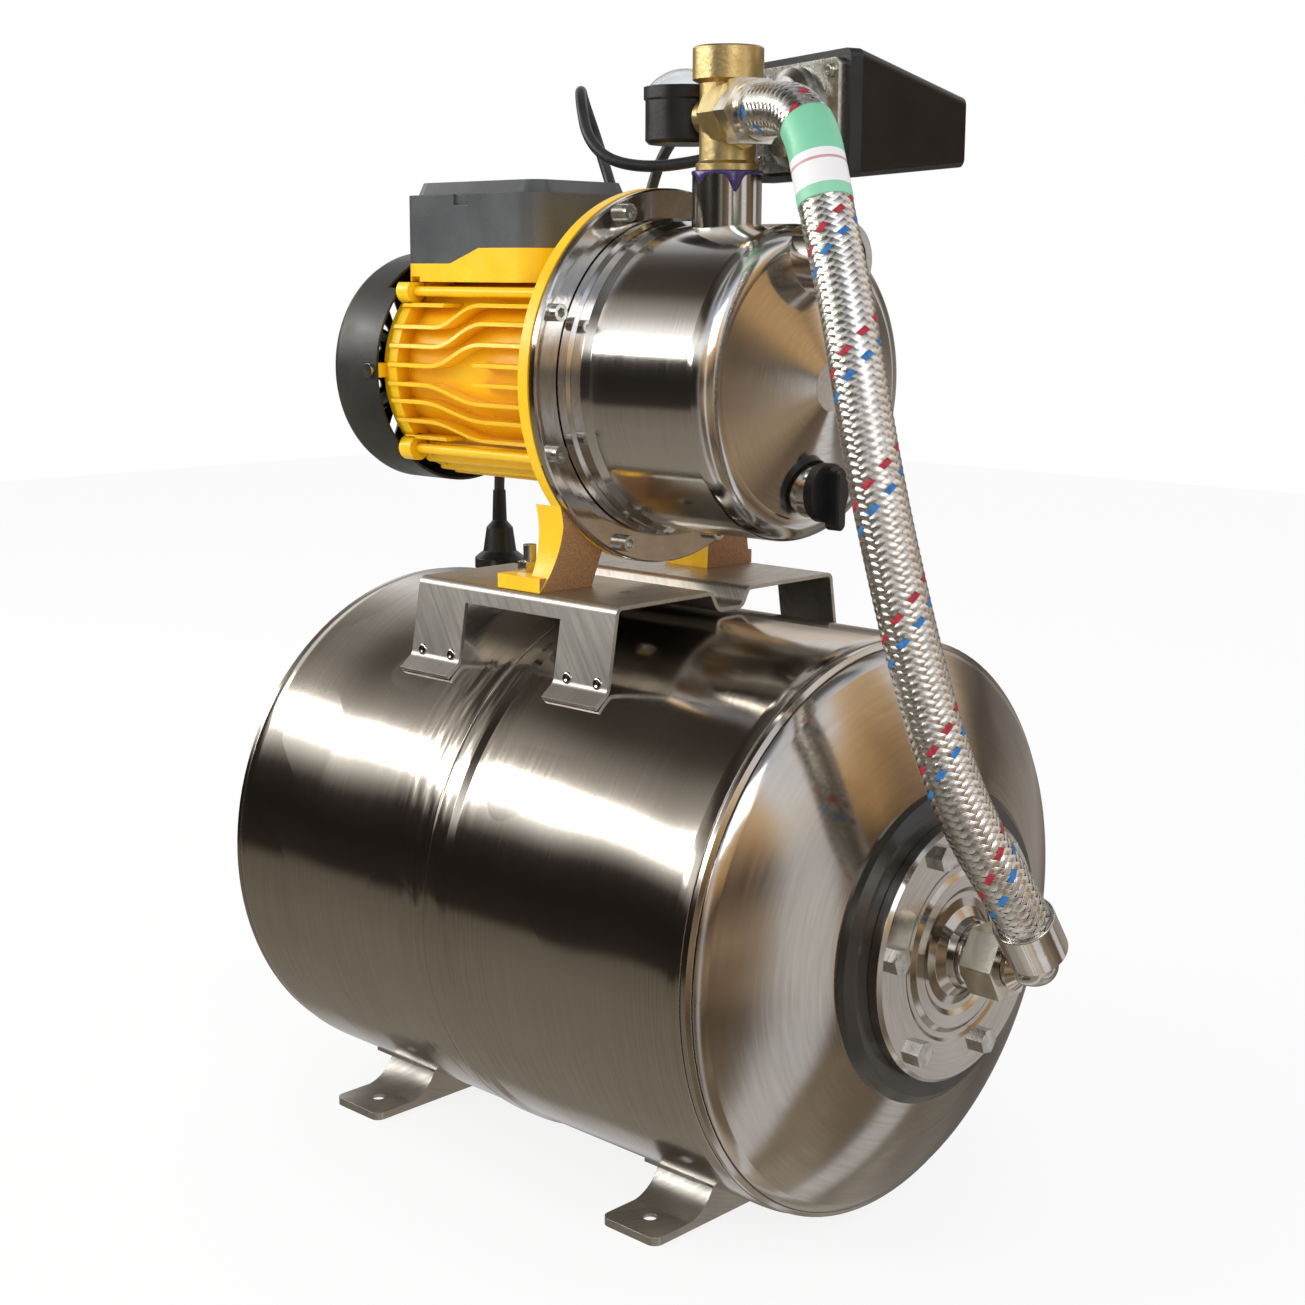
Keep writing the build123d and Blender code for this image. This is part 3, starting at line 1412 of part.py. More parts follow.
def port_plane(turn, reach):
    along = port_direction(turn)
    origin = Vector(outlet_x, 0, fitting_port_z) + along * reach
    return Plane(origin=origin, x_dir=(-along.Y, along.X, 0), z_dir=along)


def port_turned(turn, points, mode=Mode.ADD):
    along = port_direction(turn)
    centre = Vector(outlet_x, 0, fitting_port_z)
    profile = Plane(origin=centre, x_dir=along, z_dir=(along.Y, -along.X, 0))
    turned(profile, Axis(centre, along), points, mode=mode)


# A body of revolution about a vertical axis, from points of radius and height.
def spun(x, y, points, mode=Mode.ADD):
    profile = Plane(origin=(x, y, 0), x_dir=(1, 0, 0), z_dir=(0, -1, 0))
    turned(profile, Axis((x, y, 0), (0, 0, 1)), points, mode=mode)


hose_turn = port_turn
switch_turn = port_turn + 90
gauge_turn = port_turn + 180
spigot_radius = 12.0
ferrule_x = hose_boss_reach + hose_nut_length
with BuildPart() as five_way_fitting:
    spun(outlet_x, 0, [
        (0, outlet_top - fitting_spigot),
        (port_bore - running_gap, outlet_top - fitting_spigot),
        (port_bore - running_gap, outlet_top),
        (fitting_radius + 2, outlet_top),
        (fitting_radius + 2, outlet_top + 4),
        (fitting_radius, outlet_top + 6),
        (fitting_radius, fitting_collar_z - 2),
        (fitting_collar_radius, fitting_collar_z),
        (fitting_collar_radius, fitting_top - 1),
        (fitting_collar_radius - 1, fitting_top),
        (0, fitting_top),
    ])
    hose_section = port_plane(hose_turn, 0)
    with BuildSketch(hose_section):
        RegularPolygon(hose_boss_flats / 2, 8, major_radius=False)
    extrude(amount=hose_boss_reach)
    with BuildSketch(hose_section):
        Circle(spigot_radius)
    extrude(amount=ferrule_x - 0.5)
    for turn in (switch_turn, gauge_turn):
        with BuildSketch(port_plane(turn, 0)):
            Circle(small_boss_radius)
        extrude(amount=small_boss_reach)
        with BuildSketch(port_plane(turn, 0)):
            Circle(small_bore)
        extrude(amount=small_boss_reach, mode=Mode.SUBTRACT)
    with BuildSketch(hose_section):
        Circle(spigot_radius - 3.5)
    extrude(amount=ferrule_x, mode=Mode.SUBTRACT)
    spun(outlet_x, 0, [
        (0, outlet_top - fitting_spigot),
        (fitting_water_radius, outlet_top - fitting_spigot),
        (fitting_water_radius, fitting_collar_z),
        (port_bore, fitting_collar_z),
        (port_bore, fitting_top),
        (0, fitting_top),
    ], mode=Mode.SUBTRACT)
save(five_way_fitting, "five_way_fitting")

# Hose nut with its crimped ferrule
with BuildPart() as hose_top_nut:
    hexagon(port_plane(hose_turn, hose_boss_reach), hose_nut_flats, hose_nut_length)
    port_turned(hose_turn, [
        (ferrule_x, 0),
        (ferrule_x, ferrule_radius),
        (ferrule_x + ferrule_length, ferrule_radius),
        (ferrule_x + ferrule_length, 0),
    ])
    port_turned(hose_turn, [
        (hose_boss_reach, 0),
        (hose_boss_reach, spigot_radius + running_gap),
        (ferrule_x - 0.4, spigot_radius + running_gap),
        (ferrule_x - 0.4, spigot_radius - 4),
        (ferrule_x + ferrule_length, spigot_radius - 4),
        (ferrule_x + ferrule_length, 0),
    ], mode=Mode.SUBTRACT)
save(hose_top_nut, "hose_top_nut")

# Lower end: union nut on the nipple, bent tube and ferrule
leg = Vector(0, -sin(radians(elbow_lean)), cos(radians(elbow_lean)))
elbow_corner = Vector(elbow_x, 0, tank_axis_z)
leg_end = elbow_corner + leg * elbow_ferrule
union_end_x = union_nut_x + union_nut_length
nipple_seat_x = nipple_end_x + 0.2
with BuildPart() as hose_bottom_nut:
    hexagon(across(union_nut_x, tank_axis_z), union_nut_flats, union_nut_length)
    turned(tank_profile, tank_axis, [
        (union_nut_x, 0),
        (union_nut_x, nipple_radius + running_gap),
        (union_end_x - 4, nipple_radius + running_gap),
        (union_end_x - 4, elbow_radius + 3),
        (union_end_x, elbow_radius + 3),
        (union_end_x, 0),
    ], mode=Mode.SUBTRACT)
save(hose_bottom_nut, "hose_bottom_nut")

elbow_start = Vector(nipple_seat_x, 0, tank_axis_z)
ferrule_start = elbow_corner + leg * (elbow_ferrule - 26)
with BuildPart() as hose_elbow:
    with BuildLine():
        FilletPolyline(elbow_start, elbow_corner, leg_end - leg * 4, radius=elbow_bend)
    with BuildSketch(across(nipple_seat_x, tank_axis_z)):
        Circle(elbow_radius)
        Circle(elbow_radius - 2, mode=Mode.SUBTRACT)
    sweep()
    turned(tank_profile, tank_axis, [
        (nipple_seat_x, elbow_radius - 1),
        (nipple_seat_x, nipple_radius - 1),
        (union_end_x - 4.2, nipple_radius - 1),
        (union_end_x - 4.2, elbow_radius + 2.8),
        (union_end_x + 0.2, elbow_radius + 2.8),
        (union_end_x + 4, elbow_radius + 4.5),
        (union_end_x + 8, elbow_radius),
        (union_end_x + 8, elbow_radius - 1),
    ])
    with BuildSketch(Plane(origin=ferrule_start, z_dir=leg)):
        Circle(ferrule_radius)
        Circle(elbow_radius - 1, mode=Mode.SUBTRACT)
    extrude(amount=26)
    fillet(hose_elbow.faces().sort_by(Axis.Z)[-1].outer_wire().edges(), 1.0)
save(hose_elbow, "hose_elbow")

# A cord or hose from one end face to another, leaving each of them square
def free_tube(start, start_way, route, end, end_way, diameter, stub):
    first = Vector(*start) + Vector(*start_way) * stub
    last = Vector(*end) + Vector(*end_way) * stub
    with BuildLine(mode=Mode.PRIVATE) as path:
        cord_path([start, first, *route, last, end])
    with BuildSketch(path.line ^ 0, mode=Mode.PRIVATE) as section:
        Circle(diameter / 2)
    sweep(section.sketch, path=path.line)


hose_start = port_plane(hose_turn, ferrule_x + ferrule_length).origin
with BuildPart() as braided_hose:
    free_tube(hose_start, port_direction(hose_turn), hose_route, leg_end, leg, hose_diameter, hose_stub)
save(braided_hose, "braided_hose")

# Pressure gauge, its case standing on a stem from the side port
gauge_centre = port_plane(gauge_turn, gauge_distance).origin
stem_radius = small_bore - running_gap
glass_seat = gauge_top - 3.0
with BuildPart() as gauge_case:
    spun(gauge_centre.X, gauge_centre.Y, [
        (0, gauge_bottom),
        (gauge_radius - 2, gauge_bottom),
        (gauge_radius, gauge_bottom + 2),
        (gauge_radius, gauge_top - 8),
        (gauge_bezel, gauge_top - 7),
        (gauge_bezel, gauge_top),
        (gauge_glass_radius - 1.5, gauge_top),
        (gauge_glass_radius - 1.5, gauge_floor),
        (0, gauge_floor),
    ])
    port_turned(gauge_turn, [
        (small_boss_reach - 12, 0),
        (small_boss_reach - 12, stem_radius),
        (small_boss_reach, stem_radius),
        (small_boss_reach, small_boss_radius - 2),
        (gauge_distance - gauge_radius + 2, small_boss_radius - 2),
        (gauge_distance - gauge_radius + 2, 0),
    ])
    spun(gauge_centre.X, gauge_centre.Y, [
        (0, gauge_floor - 3),
        (0.85, gauge_floor - 3),
        (0.85, gauge_floor),
        (0, gauge_floor),
    ], mode=Mode.SUBTRACT)
save(gauge_case, "gauge_case")

with BuildPart() as gauge_dial:
    spun(gauge_centre.X, gauge_centre.Y, [
        (0.85, gauge_floor),
        (gauge_glass_radius - 2, gauge_floor),
        (gauge_glass_radius - 2, gauge_floor + dial_thickness),
        (0.85, gauge_floor + dial_thickness),
    ])
save(gauge_dial, "gauge_dial")

needle_z = gauge_floor + dial_thickness + 1.5
with BuildPart() as gauge_needle:
    spun(gauge_centre.X, gauge_centre.Y, [
        (0, gauge_floor - 2.5),
        (0.8, gauge_floor - 2.5),
        (0.8, needle_z - 0.5),
        (2.4, needle_z - 0.5),
        (2.4, needle_z + 1.5),
        (0, needle_z + 1.5),
    ])
    needle_origin = (gauge_centre.X, gauge_centre.Y, needle_z)
    with BuildSketch(Plane(origin=needle_origin, x_dir=port_direction(gauge_turn + 45))):
        with BuildLine():
            Polyline(
                (-6, -1.4),
                (needle_length - 5, -0.7),
                (needle_length, 0),
                (needle_length - 5, 0.7),
                (-6, 1.4),
                close=True,
            )
        make_face()
    extrude(amount=0.8)
save(gauge_needle, "gauge_needle")

with BuildPart() as gauge_lens:
    for rim, height, mode in (
        (gauge_glass_radius + 1, gauge_dome, Mode.ADD),
        (gauge_glass_radius - 1, gauge_dome - glass_wall, Mode.SUBTRACT),
    ):
        globe = cap_sphere(rim, height)
        with Locations((gauge_centre.X, gauge_centre.Y, gauge_top + height - globe)):
            Sphere(globe, mode=mode)
    with BuildSketch(Plane.XY.offset(gauge_top)):
        with Locations((gauge_centre.X, gauge_centre.Y)):
            Circle(gauge_bezel)
    extrude(amount=gauge_dome + 1, mode=Mode.INTERSECT)
save(gauge_lens, "gauge_lens")

# Pressure switch: diaphragm housing, tray, cover, and the mechanism inside
switch_plate = 5.0
tray_back = switch_back + switch_plate
with BuildPart() as switch_flange:
    with BuildSketch(port_plane(switch_turn, switch_back)):
        plate_half_width = switch_half_width - switch_plate_margin
        plate_half_height = switch_half_height - switch_plate_margin
        RectangleRounded(2 * plate_half_width, 2 * plate_half_height, 4)
    extrude(amount=switch_plate)
    port_turned(switch_turn, [
        (small_boss_reach - 12, 0),
        (small_boss_reach - 12, stem_radius),
        (small_boss_reach, stem_radius),
        (small_boss_reach, small_boss_radius - 1),
        (small_boss_reach + 8, small_boss_radius - 1),
        (small_boss_reach + 12, diaphragm_radius - 5),
        (switch_back - 5, diaphragm_radius),
        (switch_back, diaphragm_radius + 1),
        (switch_back, 0),
    ])
save(switch_flange, "switch_flange")

entry_plate_x = switch_half_width - 6.6
entry_plate_wall = 3.0
cord_entry = switch_half_width + entry_length
entry_heights = (-entry_spacing / 2, entry_spacing / 2)
pivot_height = 20.0
pin_radius_lever = 1.5
ear_gap = 13.0
with BuildPart() as switch_body:
    with BuildSketch(port_plane(switch_turn, tray_back)):
        RectangleRounded(2 * switch_half_width, 2 * switch_half_height, 5)
    extrude(amount=switch_rim - tray_back)
    with BuildSketch(port_plane(switch_turn, switch_rim)):
        with Locations((entry_plate_x, 0)):
            Rectangle(entry_plate_wall, 2 * entry_half_height, align=(Align.MAX, Align.CENTER))
        for side in (-1, 1):
            with Locations((side * ear_gap, pivot_height)):
                Rectangle(3, 8)
        Circle(3)
    extrude(amount=entry_reach + 13 - switch_rim)
    with BuildSketch(port_plane(switch_turn, lever_pivot_reach + 6)):
        for side in (-1, 1):
            with Locations((side * ear_gap, pivot_height)):
                Rectangle(4, 12)
    extrude(amount=30, mode=Mode.SUBTRACT)
    side_way = port_plane(switch_turn, entry_reach)
    for height in entry_heights:
        start = side_way.from_local_coords((entry_plate_x - 1, height, 0))
        end = side_way.from_local_coords((cord_entry, height, 0))
        round_bar(tuple(start), tuple(end), entry_radius - 1)
        tip = side_way.from_local_coords((cord_entry - 6, height, 0))
        round_bar(tuple(tip), tuple(end), entry_radius)
    pivot = port_plane(switch_turn, lever_pivot_reach)
    round_bar(
        tuple(pivot.from_local_coords((-ear_gap - 3, pivot_height, 0))),
        tuple(pivot.from_local_coords((ear_gap + 3, pivot_height, 0))),
        pin_radius_lever + running_gap,
        mode=Mode.SUBTRACT,
    )
save(switch_body, "switch_body")

with BuildPart() as switch_cover:
    for inset, depth in ((0, switch_end), (switch_wall, switch_end - switch_wall)):
        corner = 5 - inset / 2
        with BuildSketch(port_plane(switch_turn, switch_rim)):
            RectangleRounded(2 * (switch_half_width - inset), 2 * (switch_half_height - inset), corner)
        with BuildSketch(port_plane(switch_turn, depth)):
            end_size = (2 * (switch_end_half_width - inset), 2 * (switch_end_half_height - inset))
            with Locations((0, -switch_end_drop)):
                RectangleRounded(*end_size, corner)
        loft(mode=Mode.ADD if inset == 0 else Mode.SUBTRACT)
    with BuildSketch(port_plane(switch_turn, switch_rim)):
        with Locations((entry_plate_x - 1, 0)):
            Rectangle(20, entry_spacing + 2 * entry_radius + 1.6, align=(Align.MIN, Align.CENTER))
    extrude(amount=entry_reach + entry_radius + 1 - switch_rim, mode=Mode.SUBTRACT)
save(switch_cover, "switch_cover")

lever_half_width = 10.0
lever_tip = -24.0
lever_sheet = 2.0
with BuildPart() as switch_lever:
    with BuildSketch(port_plane(switch_turn, lever_pivot_reach - 1)):
        with Locations((0, lever_tip)):
            Rectangle(2 * lever_half_width, pivot_height - lever_tip, align=(Align.CENTER, Align.MIN))
        with Locations((0, 0)):
            SlotOverall(14, 8, rotation=90, mode=Mode.SUBTRACT)
    extrude(amount=lever_sheet)
    round_bar(
        tuple(pivot.from_local_coords((-ear_gap - 2, pivot_height, 0))),
        tuple(pivot.from_local_coords((ear_gap + 2, pivot_height, 0))),
        pin_radius_lever,
    )
save(switch_lever, "switch_lever")

# Range spring on its post under a nut
spring_wire = 1.3
spring_base = lever_pivot_reach + 3.6
spring_turns = 6
post_end = entry_reach + 13.0
with BuildPart() as switch_springs:
    for ring in range(spring_turns):
        reach = spring_base + ring * 2 * spring_wire
        port_turned(switch_turn, [
            (reach, spring_radius - spring_wire),
            (reach, spring_radius),
            (reach + 2 * spring_wire, spring_radius),
            (reach + 2 * spring_wire, spring_radius - spring_wire),
        ])
save(switch_springs, "switch_springs")

with BuildPart() as switch_contacts:
    with BuildSketch(port_plane(switch_turn, switch_rim)):
        with Locations((0, lever_tip - 1)):
            Rectangle(44, 5, align=(Align.CENTER, Align.MAX))
    extrude(amount=14)
    with BuildSketch(port_plane(switch_turn, switch_rim + 14)):
        with Locations((0, lever_tip - 3.5)):
            with GridLocations(10, 1, 4, 1):
                Circle(2.0)
    extrude(amount=1.5)
save(switch_contacts, "switch_contacts")

# Cords: the lead from the switch to the motor, and the mains lead with its hank and plug
strand = cord_diameter
hank_thickness = hank_layers * strand
tie_gap = 0.2
hank_top = hank_z + hank_width / 2
hank_bottom = hank_z - hank_width / 2
outer_layer_y = hank_y + hank_thickness - strand / 2
entry_points = [side_way.from_local_coords(Vector(cord_entry, height, 0)) for height in entry_heights]
entry_way = side_way.x_dir


motor_cord_start = (gland_x, box_half_width + gland_length, gland_z)
with BuildPart() as motor_cable:
    free_tube(
        motor_cord_start, (0, 1, 0), motor_cord_route, entry_points[0], entry_way, cord_diameter, cord_stub
    )
save(motor_cable, "motor_cable")

hank_entry = (-69.0, outer_layer_y, hank_top)
with BuildPart() as mains_cord:
    free_tube(
        entry_points[1], entry_way, mains_cord_route, hank_entry, (0, 0, 1), cord_diameter, cord_stub
    )
save(mains_cord, "mains_cord")

# The hank: two layers of a long winding, wound neat and tied
with BuildPart() as cord_hank:
    with BuildSketch(Plane.XZ.offset(-hank_y)):
        with Locations(((hank_x0 + hank_x1) / 2, hank_z)):
            SlotOverall(hank_x1 - hank_x0, hank_width)
            SlotOverall(hank_x1 - hank_x0 - 4 * strand, hank_width - 4 * strand, mode=Mode.SUBTRACT)
    extrude(amount=-hank_thickness)
    fillet(cord_hank.faces().filter_by(Plane.XZ).edges(), strand / 2 - tie_gap)
save(cord_hank, "cord_hank")

# Tie round the hank's upper run and the tie rod
tie_corner = strand / 2


def tie_loop(grow):
    with BuildSketch(across(tie_x - tie_width / 2, 0), mode=Mode.PRIVATE) as loop:
        with Locations((rod_offset, pump_axis_z + rod_offset)):
            Circle(rod_radius + grow)
        for y in (hank_y + tie_corner, hank_y + hank_thickness - tie_corner):
            for z in (hank_top - tie_corner, hank_top - 2 * strand + tie_corner):
                with Locations((y, z)):
                    Circle(tie_corner + grow)
        make_hull()
    return loop.sketch


with BuildPart() as cord_tie:
    extrude(tie_loop(tie_gap + tie_thickness), amount=tie_width)
    extrude(tie_loop(tie_gap), amount=tie_width, mode=Mode.SUBTRACT)
save(cord_tie, "cord_tie")

# Plug, hanging face down from the hank's tail behind the motor
tail_start = (-134.0, outer_layer_y, hank_bottom)
plug_top = plug_face_z + plug_height
with BuildPart() as plug_tail:
    plug_end = (plug_x, plug_y, plug_top)
    free_tube(tail_start, (0, 0, -1), plug_cord_route, plug_end, (0, 0, 1), cord_diameter, cord_stub)
save(plug_tail, "plug_tail")

with BuildPart() as mains_plug:
    spun(plug_x, plug_y, [
        (0, plug_face_z),
        (plug_radius, plug_face_z),
        (plug_radius, plug_face_z + 7),
        (plug_radius - 2, plug_face_z + 9),
        (plug_radius - 6, plug_face_z + 12),
        (plug_radius - 8.5, plug_face_z + 29),
        (cord_diameter / 2 + 1.5, plug_face_z + 34),
        (cord_diameter / 2 + 0.8, plug_top),
        (0, plug_top),
    ])
    with BuildSketch(Plane.XY.offset(plug_face_z)):
        for side in (-1, 1):
            with Locations((plug_x + side * pin_spacing / 2, plug_y)):
                Circle(pin_radius)
    extrude(amount=-pin_length)
save(mains_plug, "mains_plug")
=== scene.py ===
import bpy
import numpy as np
from math import cos, pi, radians, sin
from mathutils import Matrix, Vector
from mathutils.bvhtree import BVHTree


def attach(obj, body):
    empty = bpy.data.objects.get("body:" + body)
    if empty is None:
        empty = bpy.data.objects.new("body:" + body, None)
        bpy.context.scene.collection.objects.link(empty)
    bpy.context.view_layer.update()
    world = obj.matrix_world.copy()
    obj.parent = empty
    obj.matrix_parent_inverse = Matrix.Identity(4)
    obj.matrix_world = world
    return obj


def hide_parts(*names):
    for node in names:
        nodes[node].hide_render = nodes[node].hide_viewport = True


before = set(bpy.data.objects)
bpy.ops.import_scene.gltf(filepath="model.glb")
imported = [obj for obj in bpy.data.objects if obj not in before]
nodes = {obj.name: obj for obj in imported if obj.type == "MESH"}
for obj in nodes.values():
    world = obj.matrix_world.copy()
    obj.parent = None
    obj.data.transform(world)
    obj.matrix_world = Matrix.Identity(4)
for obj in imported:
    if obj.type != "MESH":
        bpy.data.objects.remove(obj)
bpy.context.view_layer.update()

print("model loaded,", len(nodes), "nodes")


def linearColour(code):
    values = [int(code[i:i + 2], 16) / 255 for i in (1, 3, 5)]
    return [v / 12.92 if v <= 0.04045 else ((v + 0.055) / 1.055) ** 2.4 for v in values] + [1.0]


# Adds one node: settings are its sockets or properties, links are sockets fed by other nodes
def addNode(tree, kind, settings=None, links=None):
    node = tree.nodes.new(kind)
    for key, value in (settings or {}).items():
        if isinstance(key, int) or key in node.inputs:
            node.inputs[key].default_value = value
        else:
            setattr(node, key, value)
    for key, source in (links or {}).items():
        tree.links.new(source, node.inputs[key])
    return node


def startMaterial(name):
    material = bpy.data.materials.new(name)
    material.use_nodes = True
    tree = material.node_tree
    tree.nodes.clear()
    place = addNode(tree, "ShaderNodeTexCoord").outputs["Object"]
    return material, tree, place


# What is the same all over is set on the shader itself, and nodes feed the rest
def endMaterial(tree, settings, links):
    shader = addNode(tree, "ShaderNodeBsdfPrincipled", settings, links)
    addNode(tree, "ShaderNodeOutputMaterial", {}, {"Surface": shader.outputs[0]})


noiseSpread = {"From Min": 0.3, "From Max": 0.7}    # noise seldom leaves this range


# A value that wanders between two limits over patches of a real size in millimetres
def wander(tree, place, size, low, high, detail=3.0):
    scale = [1000 / size] * 3
    mapping = addNode(tree, "ShaderNodeMapping", {"Scale": scale}, {"Vector": place})
    noise = addNode(tree, "ShaderNodeTexNoise", {"Scale": 1.0, "Detail": detail},
                    {"Vector": mapping.outputs[0]})
    limits = noiseSpread | {"To Min": low, "To Max": high}
    return addNode(tree, "ShaderNodeMapRange", limits, {"Value": noise.outputs[0]}).outputs[0]


# Colour that drifts between a recipe's light and dark, and the patches that it drifts over. Where
# the surface has lines, the dark lies in them.
def cloudedColour(tree, place, recipe, lines=None):
    patches = wander(tree, place, recipe["patch"], 0, 1)
    if lines:
        patches = addNode(tree, "ShaderNodeMath", {"operation": "MULTIPLY"},
                          {0: lines, 1: patches}).outputs[0]
    ends = {"data_type": "RGBA", 6: linearColour(recipe["light"]), 7: linearColour(recipe["dark"])}
    return addNode(tree, "ShaderNodeMix", ends, {0: patches}).outputs[2], patches


# How far the edges of each kind of piece are rounded, and how many rays look for them
edges = {"samples": 4, "sheet": 0.0005, "metal": 0.0004, "moulding": 0.0006, "casting": 0.0009}


# Relief on a surface whose edges are rounded enough to catch the light
def relief(tree, height, depth, edge):
    rounded = addNode(tree, "ShaderNodeBevel", {"samples": edges["samples"], "Radius": edges[edge]})
    return addNode(tree, "ShaderNodeBump", {"Distance": depth},
                   {"Height": height, "Normal": rounded.outputs[0]}).outputs[0]


# The photographer stood in front and to the right, a little above the pump's shaft
cameraSetup = {"position": (0.8771, -0.8967, 0.5457), "yaw": 43.442, "pitch": 10.644, "roll": 0.313,
               "lens": 55.56, "sensor": 36.0, "nearest": 0.05}


def setCamera(setup):
    yaw, pitch, roll = (radians(setup[k]) for k in ("yaw", "pitch", "roll"))
    forward = Vector((-sin(yaw) * cos(pitch), cos(yaw) * cos(pitch), -sin(pitch)))
    level = Vector((cos(yaw), sin(yaw), 0))
    upward = level.cross(forward)
    right = level * cos(roll) + upward * sin(roll)
    data = bpy.data.cameras.new("camera")
    data.lens = setup["lens"]
    data.sensor_fit = "HORIZONTAL"
    data.sensor_width = setup["sensor"]
    data.clip_start = setup["nearest"]
    camera = bpy.data.objects.new("camera", data)
    turn = Matrix((right, right.cross(forward), -forward)).transposed()
    camera.matrix_world = Matrix.Translation(setup["position"]) @ turn.to_4x4()
    bpy.context.scene.collection.objects.link(camera)
    bpy.context.scene.camera = camera


setCamera(cameraSetup)
bpy.context.scene.view_settings.view_transform = "Standard"
print("camera set")

# Stainless sheet, polished while it spins: fine lines run round its axis and smear reflections
# across them. They are drawn a millimetre or more apart, coarser than the real ones, so they show.
tankAxis = 0.1765
pumpAxis = 0.484
polish = {"turns": 3, "detail": 2.0}
# deep drawn tank halves: a warm, slightly smoky mirror
sheetSteel = {"light": "#B4AEA6", "dark": "#A49C92", "lineGap": 1.4, "roughness": (0.11, 0.16),
              "patch": 110, "anisotropic": 0.55, "bump": 0.000006, "axis": tankAxis}
# drawn and buffed casing: brighter and tighter than the tank
casingSteel = {"light": "#CFCCC7", "dark": "#C0BCB6", "lineGap": 1.1, "roughness": (0.1, 0.15),
               "patch": 60, "anisotropic": 0.6, "bump": 0.000003, "axis": pumpAxis}
# pressed mill-finish sheet of the feet and platform: pale satin, with no clear reflection
bareSheet = {"light": "#C6C3BD", "dark": "#A8A49D", "lineGap": 2.4, "roughness": (0.34, 0.46),
             "patch": 30, "anisotropic": 0.2, "bump": 0.00001, "axis": tankAxis}
# where the two halves lap, the thin sheet puckers, and a bead is rolled beside the lap
tankSeam = {"x": 0.002, "near": 0.008, "far": 0.036, "gap": 8, "turns": 5.5, "detail": 1.0, "depth": 0.0007,
            "waveSize": 75, "waves": 0.0008, "beadX": 0.0072, "beadHalf": 0.0019, "beadHeight": 0.0007}


# Noise round an axis: gap is its size along the axis in mm, turns is how much it changes round it
def ringNoise(tree, ray, distance, gap, turns, detail):
    count = addNode(tree, "ShaderNodeMath", {"operation": "MULTIPLY", 1: 1000 / gap}, {0: distance})
    row = addNode(tree, "ShaderNodeCombineXYZ", {}, {"X": count.outputs[0]})
    grid = addNode(tree, "ShaderNodeVectorMath", {"operation": "MULTIPLY_ADD", 1: (turns,) * 3},
                   {0: ray, 2: row.outputs[0]})
    return addNode(tree, "ShaderNodeTexNoise", {"Scale": 1.0, "Detail": detail},
                   {"Vector": grid.outputs[0]}).outputs[0]


# One beside a plane across the axis, and fading to nothing away from it
def besidePlane(tree, x, plane, fade):
    off = addNode(tree, "ShaderNodeMath", {"operation": "SUBTRACT", 1: plane}, {0: x})
    away = addNode(tree, "ShaderNodeMath", {"operation": "ABSOLUTE"}, {0: off.outputs[0]})
    return addNode(tree, "ShaderNodeMapRange", fade | {"To Min": 1.0, "To Max": 0.0},
                   {"Value": away.outputs[0]}).outputs[0]


# The bead, the slow waves of a sheet that is never quite round, and the puckers at the lap
def seamRelief(tree, place, x, ray, normal, seam):
    near = besidePlane(tree, x, seam["x"], {"From Min": seam["near"], "From Max": seam["far"]})
    puckers = ringNoise(tree, ray, x, seam["gap"], seam["turns"], seam["detail"])
    folds = addNode(tree, "ShaderNodeMath", {"operation": "MULTIPLY"}, {0: puckers, 1: near})
    bead = besidePlane(tree, x, seam["beadX"],
                       {"interpolation_type": "SMOOTHSTEP", "From Max": seam["beadHalf"]})
    waves = wander(tree, place, seam["waveSize"], 0, 1, 0.0)
    for depth, form in ((seam["beadHeight"], bead), (seam["waves"], waves),
                        (seam["depth"], folds.outputs[0])):
        normal = addNode(tree, "ShaderNodeBump", {"Distance": depth},
                         {"Height": form, "Normal": normal}).outputs[0]
    return normal


